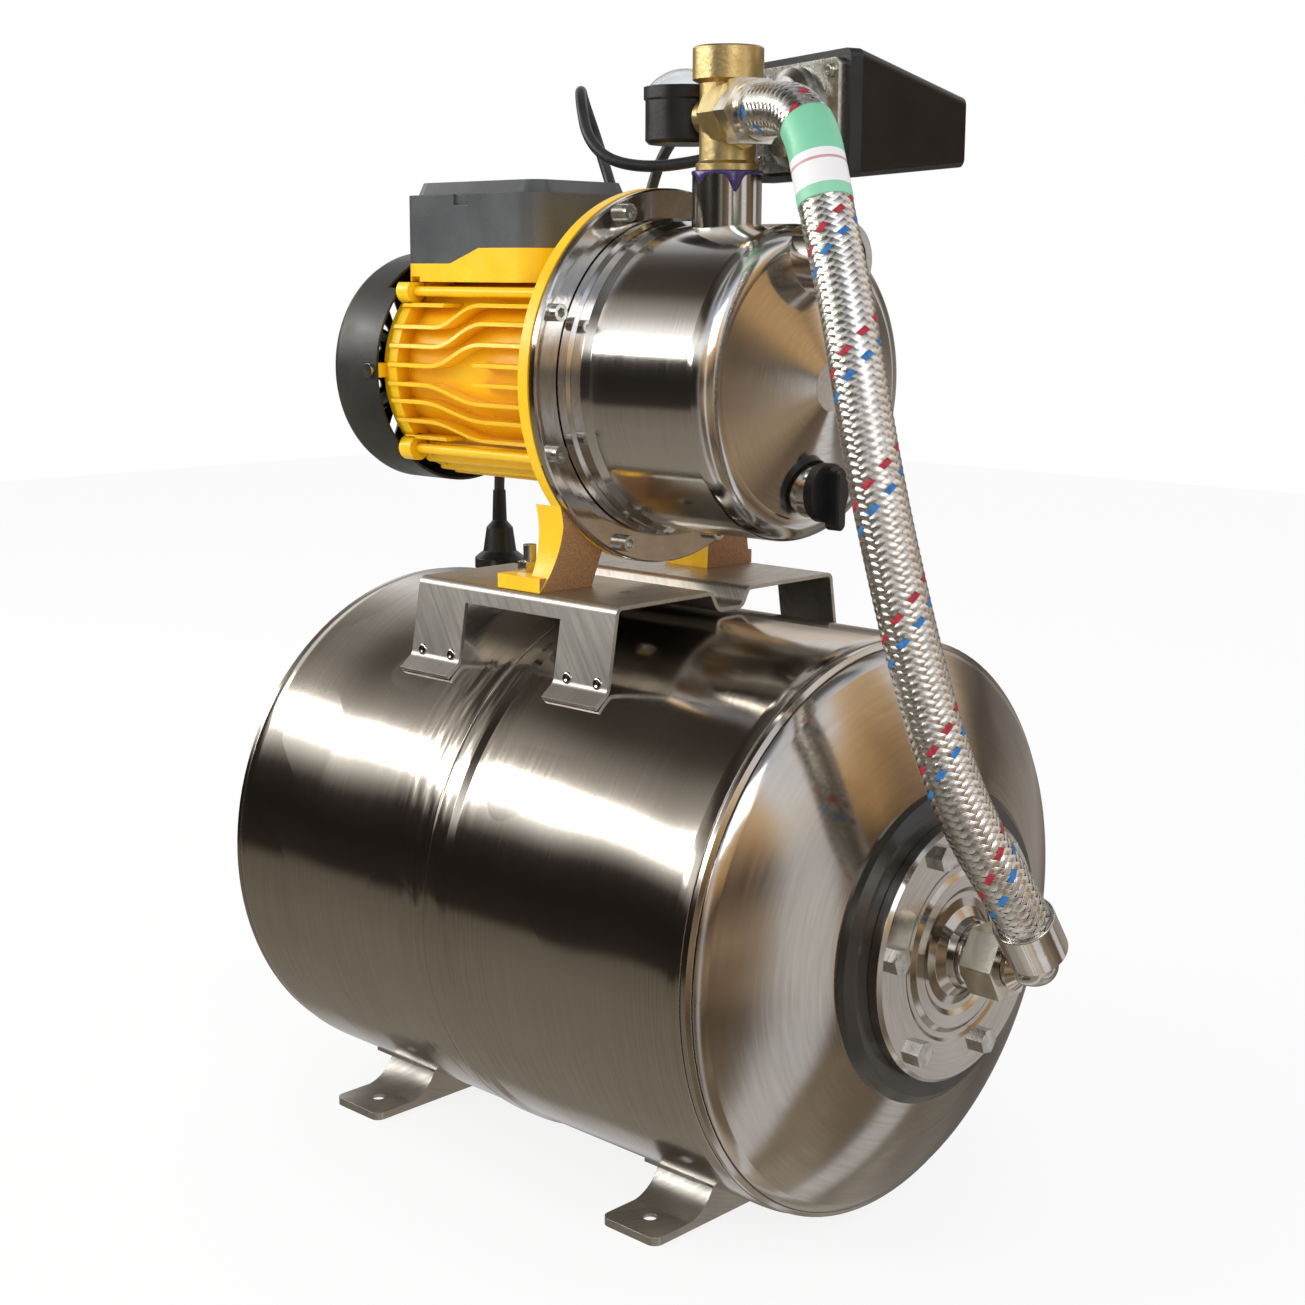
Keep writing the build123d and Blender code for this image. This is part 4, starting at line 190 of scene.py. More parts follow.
def steelFinish(name, recipe, seam=None):
    material, tree, place = startMaterial(name)
    # round the axis: distance along it, distance from it, and the way out from it
    offset = addNode(tree, "ShaderNodeVectorMath", {"operation": "SUBTRACT", 1: (0, 0, recipe["axis"])},
                     {0: place})
    spoke = addNode(tree, "ShaderNodeVectorMath", {"operation": "MULTIPLY", 1: (0, 1, 1)},
                    {0: offset.outputs[0]}).outputs[0]
    reach = addNode(tree, "ShaderNodeVectorMath", {"operation": "LENGTH"}, {0: spoke})
    ray = addNode(tree, "ShaderNodeVectorMath", {"operation": "NORMALIZE"}, {0: spoke}).outputs[0]
    x = addNode(tree, "ShaderNodeSeparateXYZ", {}, {"Vector": place}).outputs[0]
    run = addNode(tree, "ShaderNodeMath", {"operation": "ADD"}, {0: x, 1: reach.outputs["Value"]})
    streaks = ringNoise(tree, ray, run.outputs[0], recipe["lineGap"], polish["turns"], polish["detail"])
    lines = addNode(tree, "ShaderNodeMapRange", noiseSpread, {"Value": streaks}).outputs[0]
    tone = cloudedColour(tree, place, recipe, lines)[0]
    low, high = recipe["roughness"]
    gloss = addNode(tree, "ShaderNodeMapRange", {"To Min": low, "To Max": high}, {"Value": lines})
    normal = relief(tree, lines, recipe["bump"], "sheet")
    if seam:
        normal = seamRelief(tree, place, x, ray, normal, seam)
    # light smears across the lines: the tangent is at right angles to them, within the surface
    facing = addNode(tree, "ShaderNodeNewGeometry").outputs["Normal"]
    around = addNode(tree, "ShaderNodeVectorMath", {"operation": "CROSS_PRODUCT", 0: (1, 0, 0)}, {1: ray})
    across = addNode(tree, "ShaderNodeVectorMath", {"operation": "CROSS_PRODUCT"},
                     {0: around.outputs[0], 1: facing})
    endMaterial(tree, {"Metallic": 1.0, "Anisotropic": recipe["anisotropic"]},
                {"Base Color": tone, "Roughness": gloss.outputs[0], "Normal": normal,
                 "Tangent": across.outputs[0]})
    return material


# Plated, bare and cast metals: colour drifts a little and the surface is grained or pitted
def metalFinish(name, recipe):
    material, tree, place = startMaterial(name)
    tone, patches = cloudedColour(tree, place, recipe)
    low, high = recipe["roughness"]
    gloss = addNode(tree, "ShaderNodeMapRange", {"To Min": low, "To Max": high}, {"Value": patches})
    grain = wander(tree, place, recipe["grain"], 0, 1)
    endMaterial(tree, {"Metallic": 1.0}, {"Base Color": tone, "Roughness": gloss.outputs[0],
                "Normal": relief(tree, grain, recipe["bump"], "metal")})
    return material


# stainless, buffed by hand: a clear mirror that bends a little
mirrorSteel = {"light": "#CFCBC6", "dark": "#B9B4AE", "patch": 25, "roughness": (0.05, 0.12),
               "grain": 8, "bump": 0.00003}
# bright zinc, plated in a barrel: silvery white with soft highlights
zincPlate = {"light": "#CACAC4", "dark": "#BABAB3", "patch": 5, "roughness": (0.2, 0.3),
             "grain": 1.6, "bump": 0.00001}
# brass, sand cast and thinly nickelled: straw gold with a fine sandy skin
nickelBrass = {"light": "#E4CF98", "dark": "#C9AE70", "patch": 14, "roughness": (0.3, 0.42),
               "grain": 2.2, "bump": 0.00005}
# nickel on machined brass: a warm silver, glossier than the zinc
nickelPlate = {"light": "#DAD6CC", "dark": "#BDB6A8", "patch": 16, "roughness": (0.16, 0.26),
               "grain": 4, "bump": 0.00003}
# brass strip, stamped: deep yellow, tarnished in small patches
brassContact = {"light": "#D8A24A", "dark": "#A8742E", "patch": 6, "roughness": (0.3, 0.45),
                "grain": 1.5, "bump": 0.00004}
# electrical steel, stamped and stacked: dark grey and dull
coreSteel = {"light": "#6A6763", "dark": "#4B4845", "patch": 8, "roughness": (0.45, 0.6),
             "grain": 1.2, "bump": 0.0001}
# lacquered copper wire, wound and dipped: reddish brown, uneven as its strands
copperWire = {"light": "#C9743A", "dark": "#94491F", "patch": 4, "roughness": (0.3, 0.45),
              "grain": 1.2, "bump": 0.0003}


# Yellow enamel sprayed over sand-cast aluminium: glossy orange peel, with painted shade in the
# valleys between the ribs, where the colour is mixed toward a deeper orange
enamel = {"light": "#FFD21E", "dark": "#FBC30F", "patch": 30, "paintedValleyShade": "#EDA80A", "peel": 2.2,
          "peelDepth": 0.00007, "roughness": (0.26, 0.4), "glossPatch": 12, "paintedShadeReach": 0.009,
          "paintedShadeOpen": (0.25, 0.75), "paintedShadeShare": 0.75}
# The bracket's front face is milled and left raw, low on its feet: dull, speckled tan
rawFace = {"light": "#B98A5E", "dark": "#94683F", "patch": 1.1, "dulling": 0.4, "pits": 2.5,
           "facing": 0.8, "top": 0.437, "from": 0.012}


def enamelFinish(name, recipe, milled):
    material, tree, place = startMaterial(name)
    tone = cloudedColour(tree, place, recipe)[0]
    # Painted shade: where ambient occlusion finds a hollow, the colour is mixed toward the deeper valley
    # orange
    paintedShadeOcclusion = addNode(tree, "ShaderNodeAmbientOcclusion",
                     {"samples": edges["samples"], "Distance": recipe["paintedShadeReach"]})
    low, high = recipe["paintedShadeOpen"]
    depth = addNode(tree, "ShaderNodeMapRange", {"From Min": low, "From Max": high,
                    "To Min": recipe["paintedShadeShare"], "To Max": 0.0}, {"Value": paintedShadeOcclusion.outputs["AO"]})
    paintedShadeCoat = addNode(tree, "ShaderNodeMix", {"data_type": "RGBA", 7: linearColour(recipe["paintedValleyShade"])},
                   {0: depth.outputs[0], 6: tone})
    facing = addNode(tree, "ShaderNodeNewGeometry").outputs["Normal"]
    forward = addNode(tree, "ShaderNodeSeparateXYZ", {}, {"Vector": facing})
    spot = addNode(tree, "ShaderNodeSeparateXYZ", {}, {"Vector": place})
    tests = [addNode(tree, "ShaderNodeMath", {"operation": test, 1: limit}, {0: value}).outputs[0]
             for value, test, limit in ((forward.outputs[0], "GREATER_THAN", milled["facing"]),
                                        (spot.outputs[2], "LESS_THAN", milled["top"]),
                                        (spot.outputs[0], "GREATER_THAN", milled["from"]))]
    both = addNode(tree, "ShaderNodeMath", {"operation": "MULTIPLY"}, {0: tests[0], 1: tests[1]})
    raw = addNode(tree, "ShaderNodeMath", {"operation": "MULTIPLY"},
                  {0: both.outputs[0], 1: tests[2]}).outputs[0]
    rawTone, speckle = cloudedColour(tree, place, milled)
    colour = addNode(tree, "ShaderNodeMix", {"data_type": "RGBA"}, {0: raw, 6: paintedShadeCoat.outputs[2], 7: rawTone})
    gloss = wander(tree, place, recipe["glossPatch"], *recipe["roughness"])
    dull = addNode(tree, "ShaderNodeMath", {"operation": "MULTIPLY_ADD", 1: milled["dulling"]},
                   {0: raw, 2: gloss})
    peel = wander(tree, place, recipe["peel"], 0, 1)
    pits = addNode(tree, "ShaderNodeMath", {"operation": "MULTIPLY"}, {0: speckle, 1: raw})
    skin = addNode(tree, "ShaderNodeMath", {"operation": "MULTIPLY_ADD", 1: milled["pits"]},
                   {0: pits.outputs[0], 2: peel})
    endMaterial(tree, {}, {"Base Color": colour.outputs[2], "Roughness": dull.outputs[0],
                "Normal": relief(tree, skin.outputs[0], recipe["peelDepth"], "casting")})
    return material


# Moulded and coated surfaces: a fine grain from the mould, and a gloss that clouds a little
moulding = {"glossShare": 0.6, "grainDetail": 1.0, "ior": 1.5}


def mouldedFinish(name, recipe):
    material, tree, place = startMaterial(name)
    tone = cloudedColour(tree, place, recipe)[0]
    gloss = wander(tree, place, recipe["patch"] * moulding["glossShare"], *recipe["roughness"])
    grain = wander(tree, place, recipe["grain"], 0, 1, moulding["grainDetail"])
    endMaterial(tree, {"IOR": moulding["ior"]}, {"Base Color": tone, "Roughness": gloss,
                "Normal": relief(tree, grain, recipe["bump"], "moulding")})
    return material


# ABS in a spark-eroded mould, charcoal: an even, slightly warm black
charcoalAbs = {"light": "#34342F", "dark": "#262624", "patch": 40, "roughness": (0.36, 0.5),
               "grain": 1.0, "bump": 0.00003}
# ABS in a finer mould, grey: cool, with a soft sheen on its top
greyAbs = {"light": "#5B5E60", "dark": "#494C4E", "patch": 45, "roughness": (0.24, 0.34),
           "grain": 1.0, "bump": 0.00003}
# smoke-grey nylon, moulded: a brownish black with broad highlights. The brownish black on the seat ring is
# painted reflection: it stands for the dark that the tank's stainless neck reflects beside the flange
smokedNylonPaintedReflection = {"light": "#37332E", "dark": "#282521", "patch": 60, "roughness": (0.2, 0.3),
               "grain": 3.0, "bump": 0.00002}
# black nylon, moulded: a deep black with a satin grain
blackNylon = {"light": "#1D1D1E", "dark": "#121213", "patch": 20, "roughness": (0.3, 0.44),
              "grain": 1.0, "bump": 0.00003}
# ABS in a polished mould: a glossy brown-black
glossBlack = {"light": "#1F1C1A", "dark": "#141312", "patch": 60, "roughness": (0.16, 0.26),
              "grain": 3.0, "bump": 0.00002}
# PVC sheath, extruded: bluish dark grey, half matt
sheathPvc = {"light": "#34353A", "dark": "#222327", "patch": 18, "roughness": (0.34, 0.46),
             "grain": 1.4, "bump": 0.00004}
# rubber, press moulded: matt black that hardly reflects
mouldedRubber = {"light": "#1B1B1B", "dark": "#101010", "patch": 14, "roughness": (0.55, 0.7),
                 "grain": 0.9, "bump": 0.00006}
# white enamel, rolled on sheet: clean and smooth
whiteEnamel = {"light": "#F1F0EA", "dark": "#E6E4DC", "patch": 12, "roughness": (0.3, 0.4),
               "grain": 2.0, "bump": 0.00001}
# pad-printed ink: flat black
inkBlack = {"light": "#141414", "dark": "#0C0C0C", "patch": 3, "roughness": (0.5, 0.6),
            "grain": 1.0, "bump": 0.00001}
# thread sealant, squeezed out and set: violet, wet and lumpy
violetSealant = {"light": "#4A3A72", "dark": "#33265A", "patch": 5, "roughness": (0.18, 0.3),
                 "grain": 3.0, "bump": 0.0001}

# Cast acrylic of the gauge window: clear, glossy and slightly hazy in places
acrylic = {"colour": "#F4F8FA", "ior": 1.49, "patch": 20, "roughness": (0.02, 0.06)}


def windowFinish(name, recipe):
    material, tree, place = startMaterial(name)
    haze = wander(tree, place, recipe["patch"], *recipe["roughness"])
    endMaterial(tree, {"Transmission Weight": 1.0, "IOR": recipe["ior"],
                "Base Color": linearColour(recipe["colour"])}, {"Roughness": haze})
    return material


# Braided bands, each a handful of wires side by side: every wire glints, and painted shade darkens each
# wire's edges toward the gap beside
bandWires = {"wires": 5.0, "gap": 0.22, "paintedGapShade": 0.62, "glossPatch": 4, "bump": 0.0001}
# stainless wire, hard drawn: bright silver
braidWire = {"light": "#F0EEEA", "dark": "#D2CFC8", "patch": 6, "roughness": (0.2, 0.32), "metallic": 1.0}
# dyed polyester tracer yarns: strong, dull colour
blueYarn = {"light": "#2F86C8", "dark": "#1D5FA3", "patch": 3, "roughness": (0.5, 0.65), "metallic": 0.0}
redYarn = {"light": "#C62A3C", "dark": "#96182B", "patch": 3, "roughness": (0.5, 0.65), "metallic": 0.0}


def braidFinish(name, recipe, band):
    material, tree, place = startMaterial(name)
    across = addNode(tree, "ShaderNodeUVMap", {"uv_map": "bands"}).outputs[0]
    u = addNode(tree, "ShaderNodeSeparateXYZ", {}, {"Vector": across}).outputs[0]
    count = addNode(tree, "ShaderNodeMath", {"operation": "MULTIPLY", 1: band["wires"]}, {0: u})
    wire = addNode(tree, "ShaderNodeMath", {"operation": "PINGPONG", 1: 0.5},
                   {0: count.outputs[0]}).outputs[0]
    tone = cloudedColour(tree, place, recipe)[0]
    # Painted shade: the colour darkens toward each wire's edge, as in the crease between wires
    paintedEdgeShade = addNode(tree, "ShaderNodeMapRange", {"From Max": band["gap"], "To Min": band["paintedGapShade"],
                     "To Max": 1.0}, {"Value": wire})
    shaded = addNode(tree, "ShaderNodeMix", {"data_type": "RGBA", "blend_type": "MULTIPLY", 0: 1.0},
                     {6: tone, 7: paintedEdgeShade.outputs[0]})
    gloss = wander(tree, place, band["glossPatch"], *recipe["roughness"])
    bump = addNode(tree, "ShaderNodeBump", {"Distance": band["bump"]}, {"Height": wire})
    endMaterial(tree, {"Metallic": recipe["metallic"]},
                {"Base Color": shaded.outputs[2], "Roughness": gloss, "Normal": bump.outputs[0]})
    return material


finishes = {
    "tank steel": steelFinish("drawn stainless tank sheet", sheetSteel, tankSeam),
    "casing steel": steelFinish("polished stainless pump casing", casingSteel),
    "bare steel": steelFinish("pressed stainless sheet", bareSheet),
    "mirror steel": metalFinish("mirror stainless", mirrorSteel),
    "zinc": metalFinish("zinc plated steel", zincPlate),
    "brass": metalFinish("cast brass, thinly nickelled", nickelBrass),
    "nickel": metalFinish("nickel plate", nickelPlate),
    "contacts": metalFinish("brass contacts", brassContact),
    "core": metalFinish("core steel laminations", coreSteel),
    "copper": metalFinish("enamelled copper wire", copperWire),
    "enamel": enamelFinish("yellow enamel on cast aluminium", enamel, rawFace),
    "charcoal": mouldedFinish("charcoal moulded ABS", charcoalAbs),
    "grey": mouldedFinish("grey moulded ABS", greyAbs),
    "black": mouldedFinish("black moulded nylon", blackNylon),
    "smoked, painted reflection": mouldedFinish("smoked grey nylon, painted dark reflection", smokedNylonPaintedReflection),
    "gloss black": mouldedFinish("glossy black ABS", glossBlack),
    "sheath": mouldedFinish("PVC cable sheath", sheathPvc),
    "rubber": mouldedFinish("moulded rubber", mouldedRubber),
    "white": mouldedFinish("white dial enamel", whiteEnamel),
    "ink": mouldedFinish("printing ink", inkBlack),
    "sealant": mouldedFinish("violet thread sealant", violetSealant),
    "window": windowFinish("clear acrylic window", acrylic),
    "wire": braidFinish("stainless wire braid", braidWire, bandWires),
    "blue yarn": braidFinish("blue tracer yarn", blueYarn, bandWires),
    "red yarn": braidFinish("red tracer yarn", redYarn, bandWires),
}
finishOf = {
    "tank steel": ["front_tank_shell", "rear_tank_shell", "tank_flange"],
    "casing steel": ["pump_casing", "seal_plate"],
    "bare steel": ["front_foot", "rear_foot", "pump_platform"],
    "mirror steel": ["clamp_ring", "hose_elbow"],
    "zinc": ["flange_bolts", "mount_bolts", "clamp_screws", "fan_cover_screws", "switch_flange",
             "switch_lever", "switch_springs", "seal_head", "motor_shaft", "shaft_bearings"],
    "brass": ["five_way_fitting", "impeller"],
    "nickel": ["hose_top_nut", "hose_bottom_nut", "air_valve"],
    "contacts": ["switch_contacts"],
    "core": ["stator_core", "rotor_core"],
    "copper": ["stator_windings"],
    "enamel": ["motor_frame", "rear_end_shield", "motor_bracket", "tie_rods"],
    "charcoal": ["fan_cover"],
    "grey": ["terminal_box_cover"],
    "black": ["air_valve_cap", "gauge_case", "gauge_needle", "switch_body", "drain_plug",
              "motor_cable_gland", "mains_plug", "cord_tie", "cooling_fan",
              "terminal_block", "ejector", "diffuser"],
    "smoked, painted reflection": ["seat_ring"],
    "gloss black": ["switch_cover"],
    "rubber": ["tank_membrane", "casing_gasket", "seal_seat"],
    "white": ["gauge_dial", "run_capacitor"],
    "window": ["gauge_lens"],
    "sheath": ["motor_cable", "mains_cord", "cord_hank", "plug_tail"],
    "wire": ["braided_hose"],
}
for finish, names in finishOf.items():
    for name in names:
        nodes[name].data.materials.clear()
        nodes[name].data.materials.append(finishes[finish])
bare = sorted(set(nodes) - {name for names in finishOf.values() for name in names})
print("finishes on", len(nodes) - len(bare), "nodes, without one:", bare)


# Puts a new piece into the scene, on the set's fixed body
def fit(piece):
    bpy.context.scene.collection.objects.link(piece)
    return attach(piece, "base")


def addPiece(name, points, faces, materials, slot, smooth=True):
    mesh = bpy.data.meshes.new(name)
    mesh.from_pydata([tuple(p) for p in points], [], [tuple(f) for f in faces])
    mesh.update()
    for material in materials:
        mesh.materials.append(finishes[material])
    mesh.polygons.foreach_set("use_smooth", [smooth] * len(mesh.polygons))
    return fit(bpy.data.objects.new(name, mesh))


# A turned form: rings of (radius, height) about an axis, from a centre along a direction
def turnedRings(centre, direction, rings, steps):
    lift = Vector(direction).normalized()
    side = lift.orthogonal().normalized()
    other = lift.cross(side)
    points, faces = [], []
    for radius, height in rings:
        for k in range(steps):
            angle = 2 * pi * k / steps
            ray = side * cos(angle) + other * sin(angle)
            points.append(Vector(centre) + lift * height + ray * radius)
    for r in range(len(rings) - 1):
        for k in range(steps):
            a, b = r * steps + k, r * steps + (k + 1) % steps
            faces.append((a, b, b + steps, a + steps))
    faces.append(tuple(reversed(range(steps))))
    faces.append(tuple(range((len(rings) - 1) * steps, len(rings) * steps)))
    return points, faces


def joined(forms):
    points, faces = [], []
    for formPoints, formFaces in forms:
        start = len(points)
        points += formPoints
        faces += [tuple(i + start for i in face) for face in formFaces]
    return points, faces


# Cords and hose: control points are the routes that the solids follow
hose = {
    "radius": 0.0139, "diameter": 0.029, "length": 0.497,
    "points": [
        (0.12467, -0.01436, 0.636), (0.14158, -0.02052, 0.636), (0.1605, -0.0275, 0.632),
        (0.175, -0.0332, 0.6195), (0.1845, -0.038, 0.5995), (0.197, -0.0435, 0.569),
        (0.213, -0.051, 0.537), (0.231, -0.06, 0.492), (0.246, -0.065, 0.446), (0.261, -0.066, 0.398),
        (0.276, -0.064, 0.348), (0.291, -0.06, 0.302), (0.307, -0.054, 0.264),
        (0.322, -0.03735, 0.22847), (0.322, -0.02684, 0.21386),
    ],
}
cable = {
    "radius": 0.00375, "motorLength": 0.36, "mainsLength": 1.46,
    "motorPoints": [
        (-0.08, 0.063, 0.572), (-0.08, 0.078, 0.572), (-0.089, 0.094, 0.576), (-0.106, 0.105, 0.589),
        (-0.12, 0.109, 0.612), (-0.1295, 0.107, 0.638), (-0.129, 0.095, 0.66), (-0.115, 0.078, 0.6675),
        (-0.1, 0.064, 0.655), (-0.089, 0.0585, 0.633), (-0.071, 0.0595, 0.618), (-0.045, 0.071, 0.613),
        (-0.018, 0.089, 0.617), (0.008, 0.1, 0.624), (0.03559, 0.09468, 0.629), (0.04969, 0.08955, 0.629),
    ],
    "mainsPoints": [
        (0.04969, 0.08955, 0.643), (0.03559, 0.09468, 0.643), (0.012, 0.1, 0.65), (-0.016, 0.103, 0.652),
        (-0.041, 0.102, 0.643), (-0.058, 0.098, 0.624), (-0.066, 0.094, 0.598), (-0.0695, 0.0905, 0.569),
        (-0.068, 0.09, 0.552), (-0.0635, 0.0898, 0.5365), (-0.0535, 0.08975, 0.5275),
        (-0.041, 0.08975, 0.52625),
    ],
    "tailPoints": [
        (-0.095, 0.08225, 0.4795), (-0.11, 0.0832, 0.473), (-0.126, 0.0865, 0.4625),
        (-0.141, 0.089, 0.447), (-0.155, 0.0885, 0.4345), (-0.171, 0.087, 0.429),
        (-0.186, 0.0845, 0.4265), (-0.1965, 0.082, 0.4185), (-0.201, 0.08, 0.407), (-0.201, 0.08, 0.392),
    ],
}
# The spare cord is wound four turns round, two beside each other in two layers. Its straight runs
# have control points at six places, and outward is how far a growing turn has moved out at each.
hank = {"left": -0.136, "right": -0.036, "height": 0.504, "outer": 0.02225, "inner": 0.01475,
        "front": 0.08975, "back": 0.08225, "arcStep": 30, "lastRun": 3,
        "straights": (-0.04, -0.053, -0.073, -0.099, -0.119, -0.132), "outward": (0, 0, 0, 0.2, 0.7, 1)}


def hankTurns(setup):
    step = setup["arcStep"]
    swell = 1 / cos(radians(step / 2))    # control points stand this much outside their arc
    angles = [90 - step / 2 - step * k for k in range(180 // step)]
    outer, inner, front, back = (setup[k] for k in ("outer", "inner", "front", "back"))
    turns = [(outer, front), (inner, front), (inner, back), (outer, back)]
    points = []
    for number, (radius, y) in enumerate(turns):
        if number:
            points += [(x, y, setup["height"] + radius) for x in reversed(setup["straights"])]
        for angle in angles:
            points.append((setup["right"] + radius * swell * cos(radians(angle)), y,
                           setup["height"] + radius * swell * sin(radians(angle))))
        if number == len(turns) - 1:
            lastRun = setup["straights"][:setup["lastRun"]]
            return points + [(x, y, setup["height"] - radius) for x in lastRun]
        # a turn moves out along its bottom run, and steps in or to the next layer round its left end
        newRadius, newY = turns[number + 1]
        growth = max(newRadius - radius, 0)
        for x, share in zip(setup["straights"], setup["outward"]):
            points.append((x, y, setup["height"] - radius - growth * share))
        for k, angle in enumerate(angles):
            share = (k + 0.5) / len(angles)
            soon, late = min(2 * share, 1), max(2 * share - 1, 0)
            reach = swell * (radius + growth + min(newRadius - radius, 0) * late)
            points.append((setup["left"] - reach * cos(radians(angle)), y + (newY - y) * soon,
                           setup["height"] - reach * sin(radians(angle))))


cordMesh = {"steps": 12, "roundness": 6}    # along each stretch and round each quarter


def addCord(name, points, radius, finish):
    data = bpy.data.curves.new(name, "CURVE")
    data.dimensions = "3D"
    data.resolution_u = cordMesh["steps"]
    spline = data.splines.new("NURBS")
    spline.points.add(len(points) - 1)
    for control, spot in zip(spline.points, points):
        control.co = (*spot, 1)
    spline.order_u = 3
    spline.use_endpoint_u = True
    cord = bpy.data.objects.new(name, data)
    thin = bpy.data.meshes.new_from_object(cord)
    line = [v.co.copy() for v in thin.vertices]
    bpy.data.meshes.remove(thin)
    data.bevel_depth = radius
    data.bevel_resolution = cordMesh["roundness"]
    data.use_fill_caps = True
    data.materials.append(finishes[finish])
    return fit(cord), line


# Points and two cross directions along a line, evenly spaced, turning as little as they can
def evenFrames(line, spacing):
    spots = np.array([tuple(p) for p in line])
    runs = np.linalg.norm(np.diff(spots, axis=0), axis=1)
    reach = np.concatenate([[0], np.cumsum(runs)])
    count = max(int(round(reach[-1] / spacing)), 2)
    s = np.linspace(0, reach[-1], count + 1)
    even = np.stack([np.interp(s, reach, spots[:, k]) for k in range(3)], 1)
    ways = np.gradient(even, axis=0)
    ways /= np.linalg.norm(ways, axis=1)[:, None]
    side = np.cross(ways[0], (0, 0, 1))
    sides = []
    for way in ways:
        side = side - way * (side @ way)
        side = side / np.linalg.norm(side)
        sides.append(side)
    sides = np.array(sides)
    return s, even, sides, np.cross(ways, sides)


hoseCore, hoseLine = addCord("hose_core", hose["points"], hose["radius"], "rubber")
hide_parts("braided_hose")

# Sixteen bands each way round the hose, each passing over two and under two. Two of those that
# wind one way are tracer yarns.
braid = {"bands": 16, "pitch": 0.069, "radius": 0.01432, "wave": 0.00034, "width": 0.0037,
         "crown": 0.00016, "step": 0.0009, "across": 4, "yarns": {0: 1, 3: 2}}


def addBraid(setup, line):
    s, spots, sides, others = evenFrames(line, setup["step"])
    bands, across = setup["bands"], setup["across"]
    lean = 2 * pi / setup["pitch"]
    slope = np.arctan(setup["radius"] * lean)
    halfAngle = setup["width"] / 2 / (setup["radius"] * np.cos(slope))
    points, faces, uvs, yarns = [], [], [], []
    start = 0
    for hand in (1, -1):
        for band in range(bands):
            phase = band + hand * 2 * bands * s / setup["pitch"]
            lift = hand * setup["wave"] * np.cos(pi / 2 * (band + phase) - pi / 4)
            for k in range(across):
                edge = 2 * k / (across - 1) - 1
                angle = 2 * pi * band / bands + hand * lean * s + edge * halfAngle
                radius = setup["radius"] + lift + setup["crown"] * (1 - edge ** 2)
                ray = sides * np.cos(angle)[:, None] + others * np.sin(angle)[:, None]
                points.append(spots + ray * radius[:, None])
            for k in range(across - 1):
                low = start + k * len(s) + np.arange(len(s) - 1)
                high = low + len(s)
                faces.append(np.stack([low, high, high + 1, low + 1], 1))
                left, right = k / (across - 1), (k + 1) / (across - 1)
                pair = np.array([[left, 0], [right, 0], [right, 1], [left, 1]])
                uvs.append(np.tile(pair, (len(low), 1)))
                yarns.append(np.full(len(low), setup["yarns"].get(band, 0) if hand == 1 else 0))
            start += across * len(s)
    braidPiece = addPiece("hose_braid", np.concatenate(points), np.concatenate(faces).tolist(),
                          ["wire", "blue yarn", "red yarn"], "steel_braid")
    layer = braidPiece.data.uv_layers.new(name="bands")
    layer.data.foreach_set("uv", np.concatenate(uvs).ravel())
    braidPiece.data.polygons.foreach_set("material_index", np.concatenate(yarns))
    return braidPiece


hoseBraid = addBraid(braid, hoseLine)
print("hose braided,", len(hoseBraid.data.polygons), "faces")

# Paper band round the hose, between two places along it
paperBand = {"start": 0.05, "end": 0.1, "radius": 0.0151, "thickness": 0.0005, "steps": 64, "spacing": 0.001}


def addSleeve(name, line, setup, materials, slot):
    s, spots, sides, others = evenFrames(line, setup["spacing"])
    keep = (s >= setup["start"]) & (s <= setup["end"])
    s, spots, sides, others = s[keep], spots[keep], sides[keep], others[keep]
    steps = setup["steps"]
    angles = 2 * pi * np.arange(steps) / steps
    rays = sides[:, None] * np.cos(angles)[None, :, None] + others[:, None] * np.sin(angles)[None, :, None]
    outer = spots[:, None] + rays * setup["radius"]
    inner = spots[:, None] + rays * (setup["radius"] - setup["thickness"])
    rings = np.concatenate([outer, inner[::-1]])    # out along the outside and back along the inside
    faces = []
    for i in range(len(rings)):
        for k in range(steps):
            here, there = i * steps, (i + 1) % len(rings) * steps
            turn = (k + 1) % steps
            faces.append((here + k, there + k, there + turn, here + turn))
    sleeve = addPiece(name, rings.reshape(-1, 3), faces, materials, slot)
    share = (s - s[0]) / (s[-1] - s[0])
    along = np.repeat(np.concatenate([share, share[::-1]]), steps)
    sleeve.data.attributes.new("along", "FLOAT", "POINT").data.foreach_set("value", along.astype(np.float32))
    return sleeve


# A ramp of colours along a share from 0 to 1
def colourRamp(tree, share, marks, blend="LINEAR"):
    ramp = addNode(tree, "ShaderNodeValToRGB", {}, {"Fac": share})
    ramp.color_ramp.interpolation = blend
    elements = ramp.color_ramp.elements
    for element, (spot, code) in ((elements[0], marks[0]), (elements[1], marks[-1])):
        element.position = spot
        element.color = linearColour(code)
    for spot, code in marks[1:-1]:
        elements.new(spot).color = linearColour(code)
    return ramp.outputs[0]


# Glossy paper, printed and crumpled a little: pale sea green, white with one thin line, green again
paper = {"stripes": [(0, "#7FCDA6"), (0.48, "#F1EFEF"), (0.57, "#C79C9C"), (0.6, "#F1EFEF"),
                     (0.86, "#8FD2AE")],
         "crumple": 9, "bump": 0.0002, "glossPatch": 12, "roughness": (0.35, 0.5)}


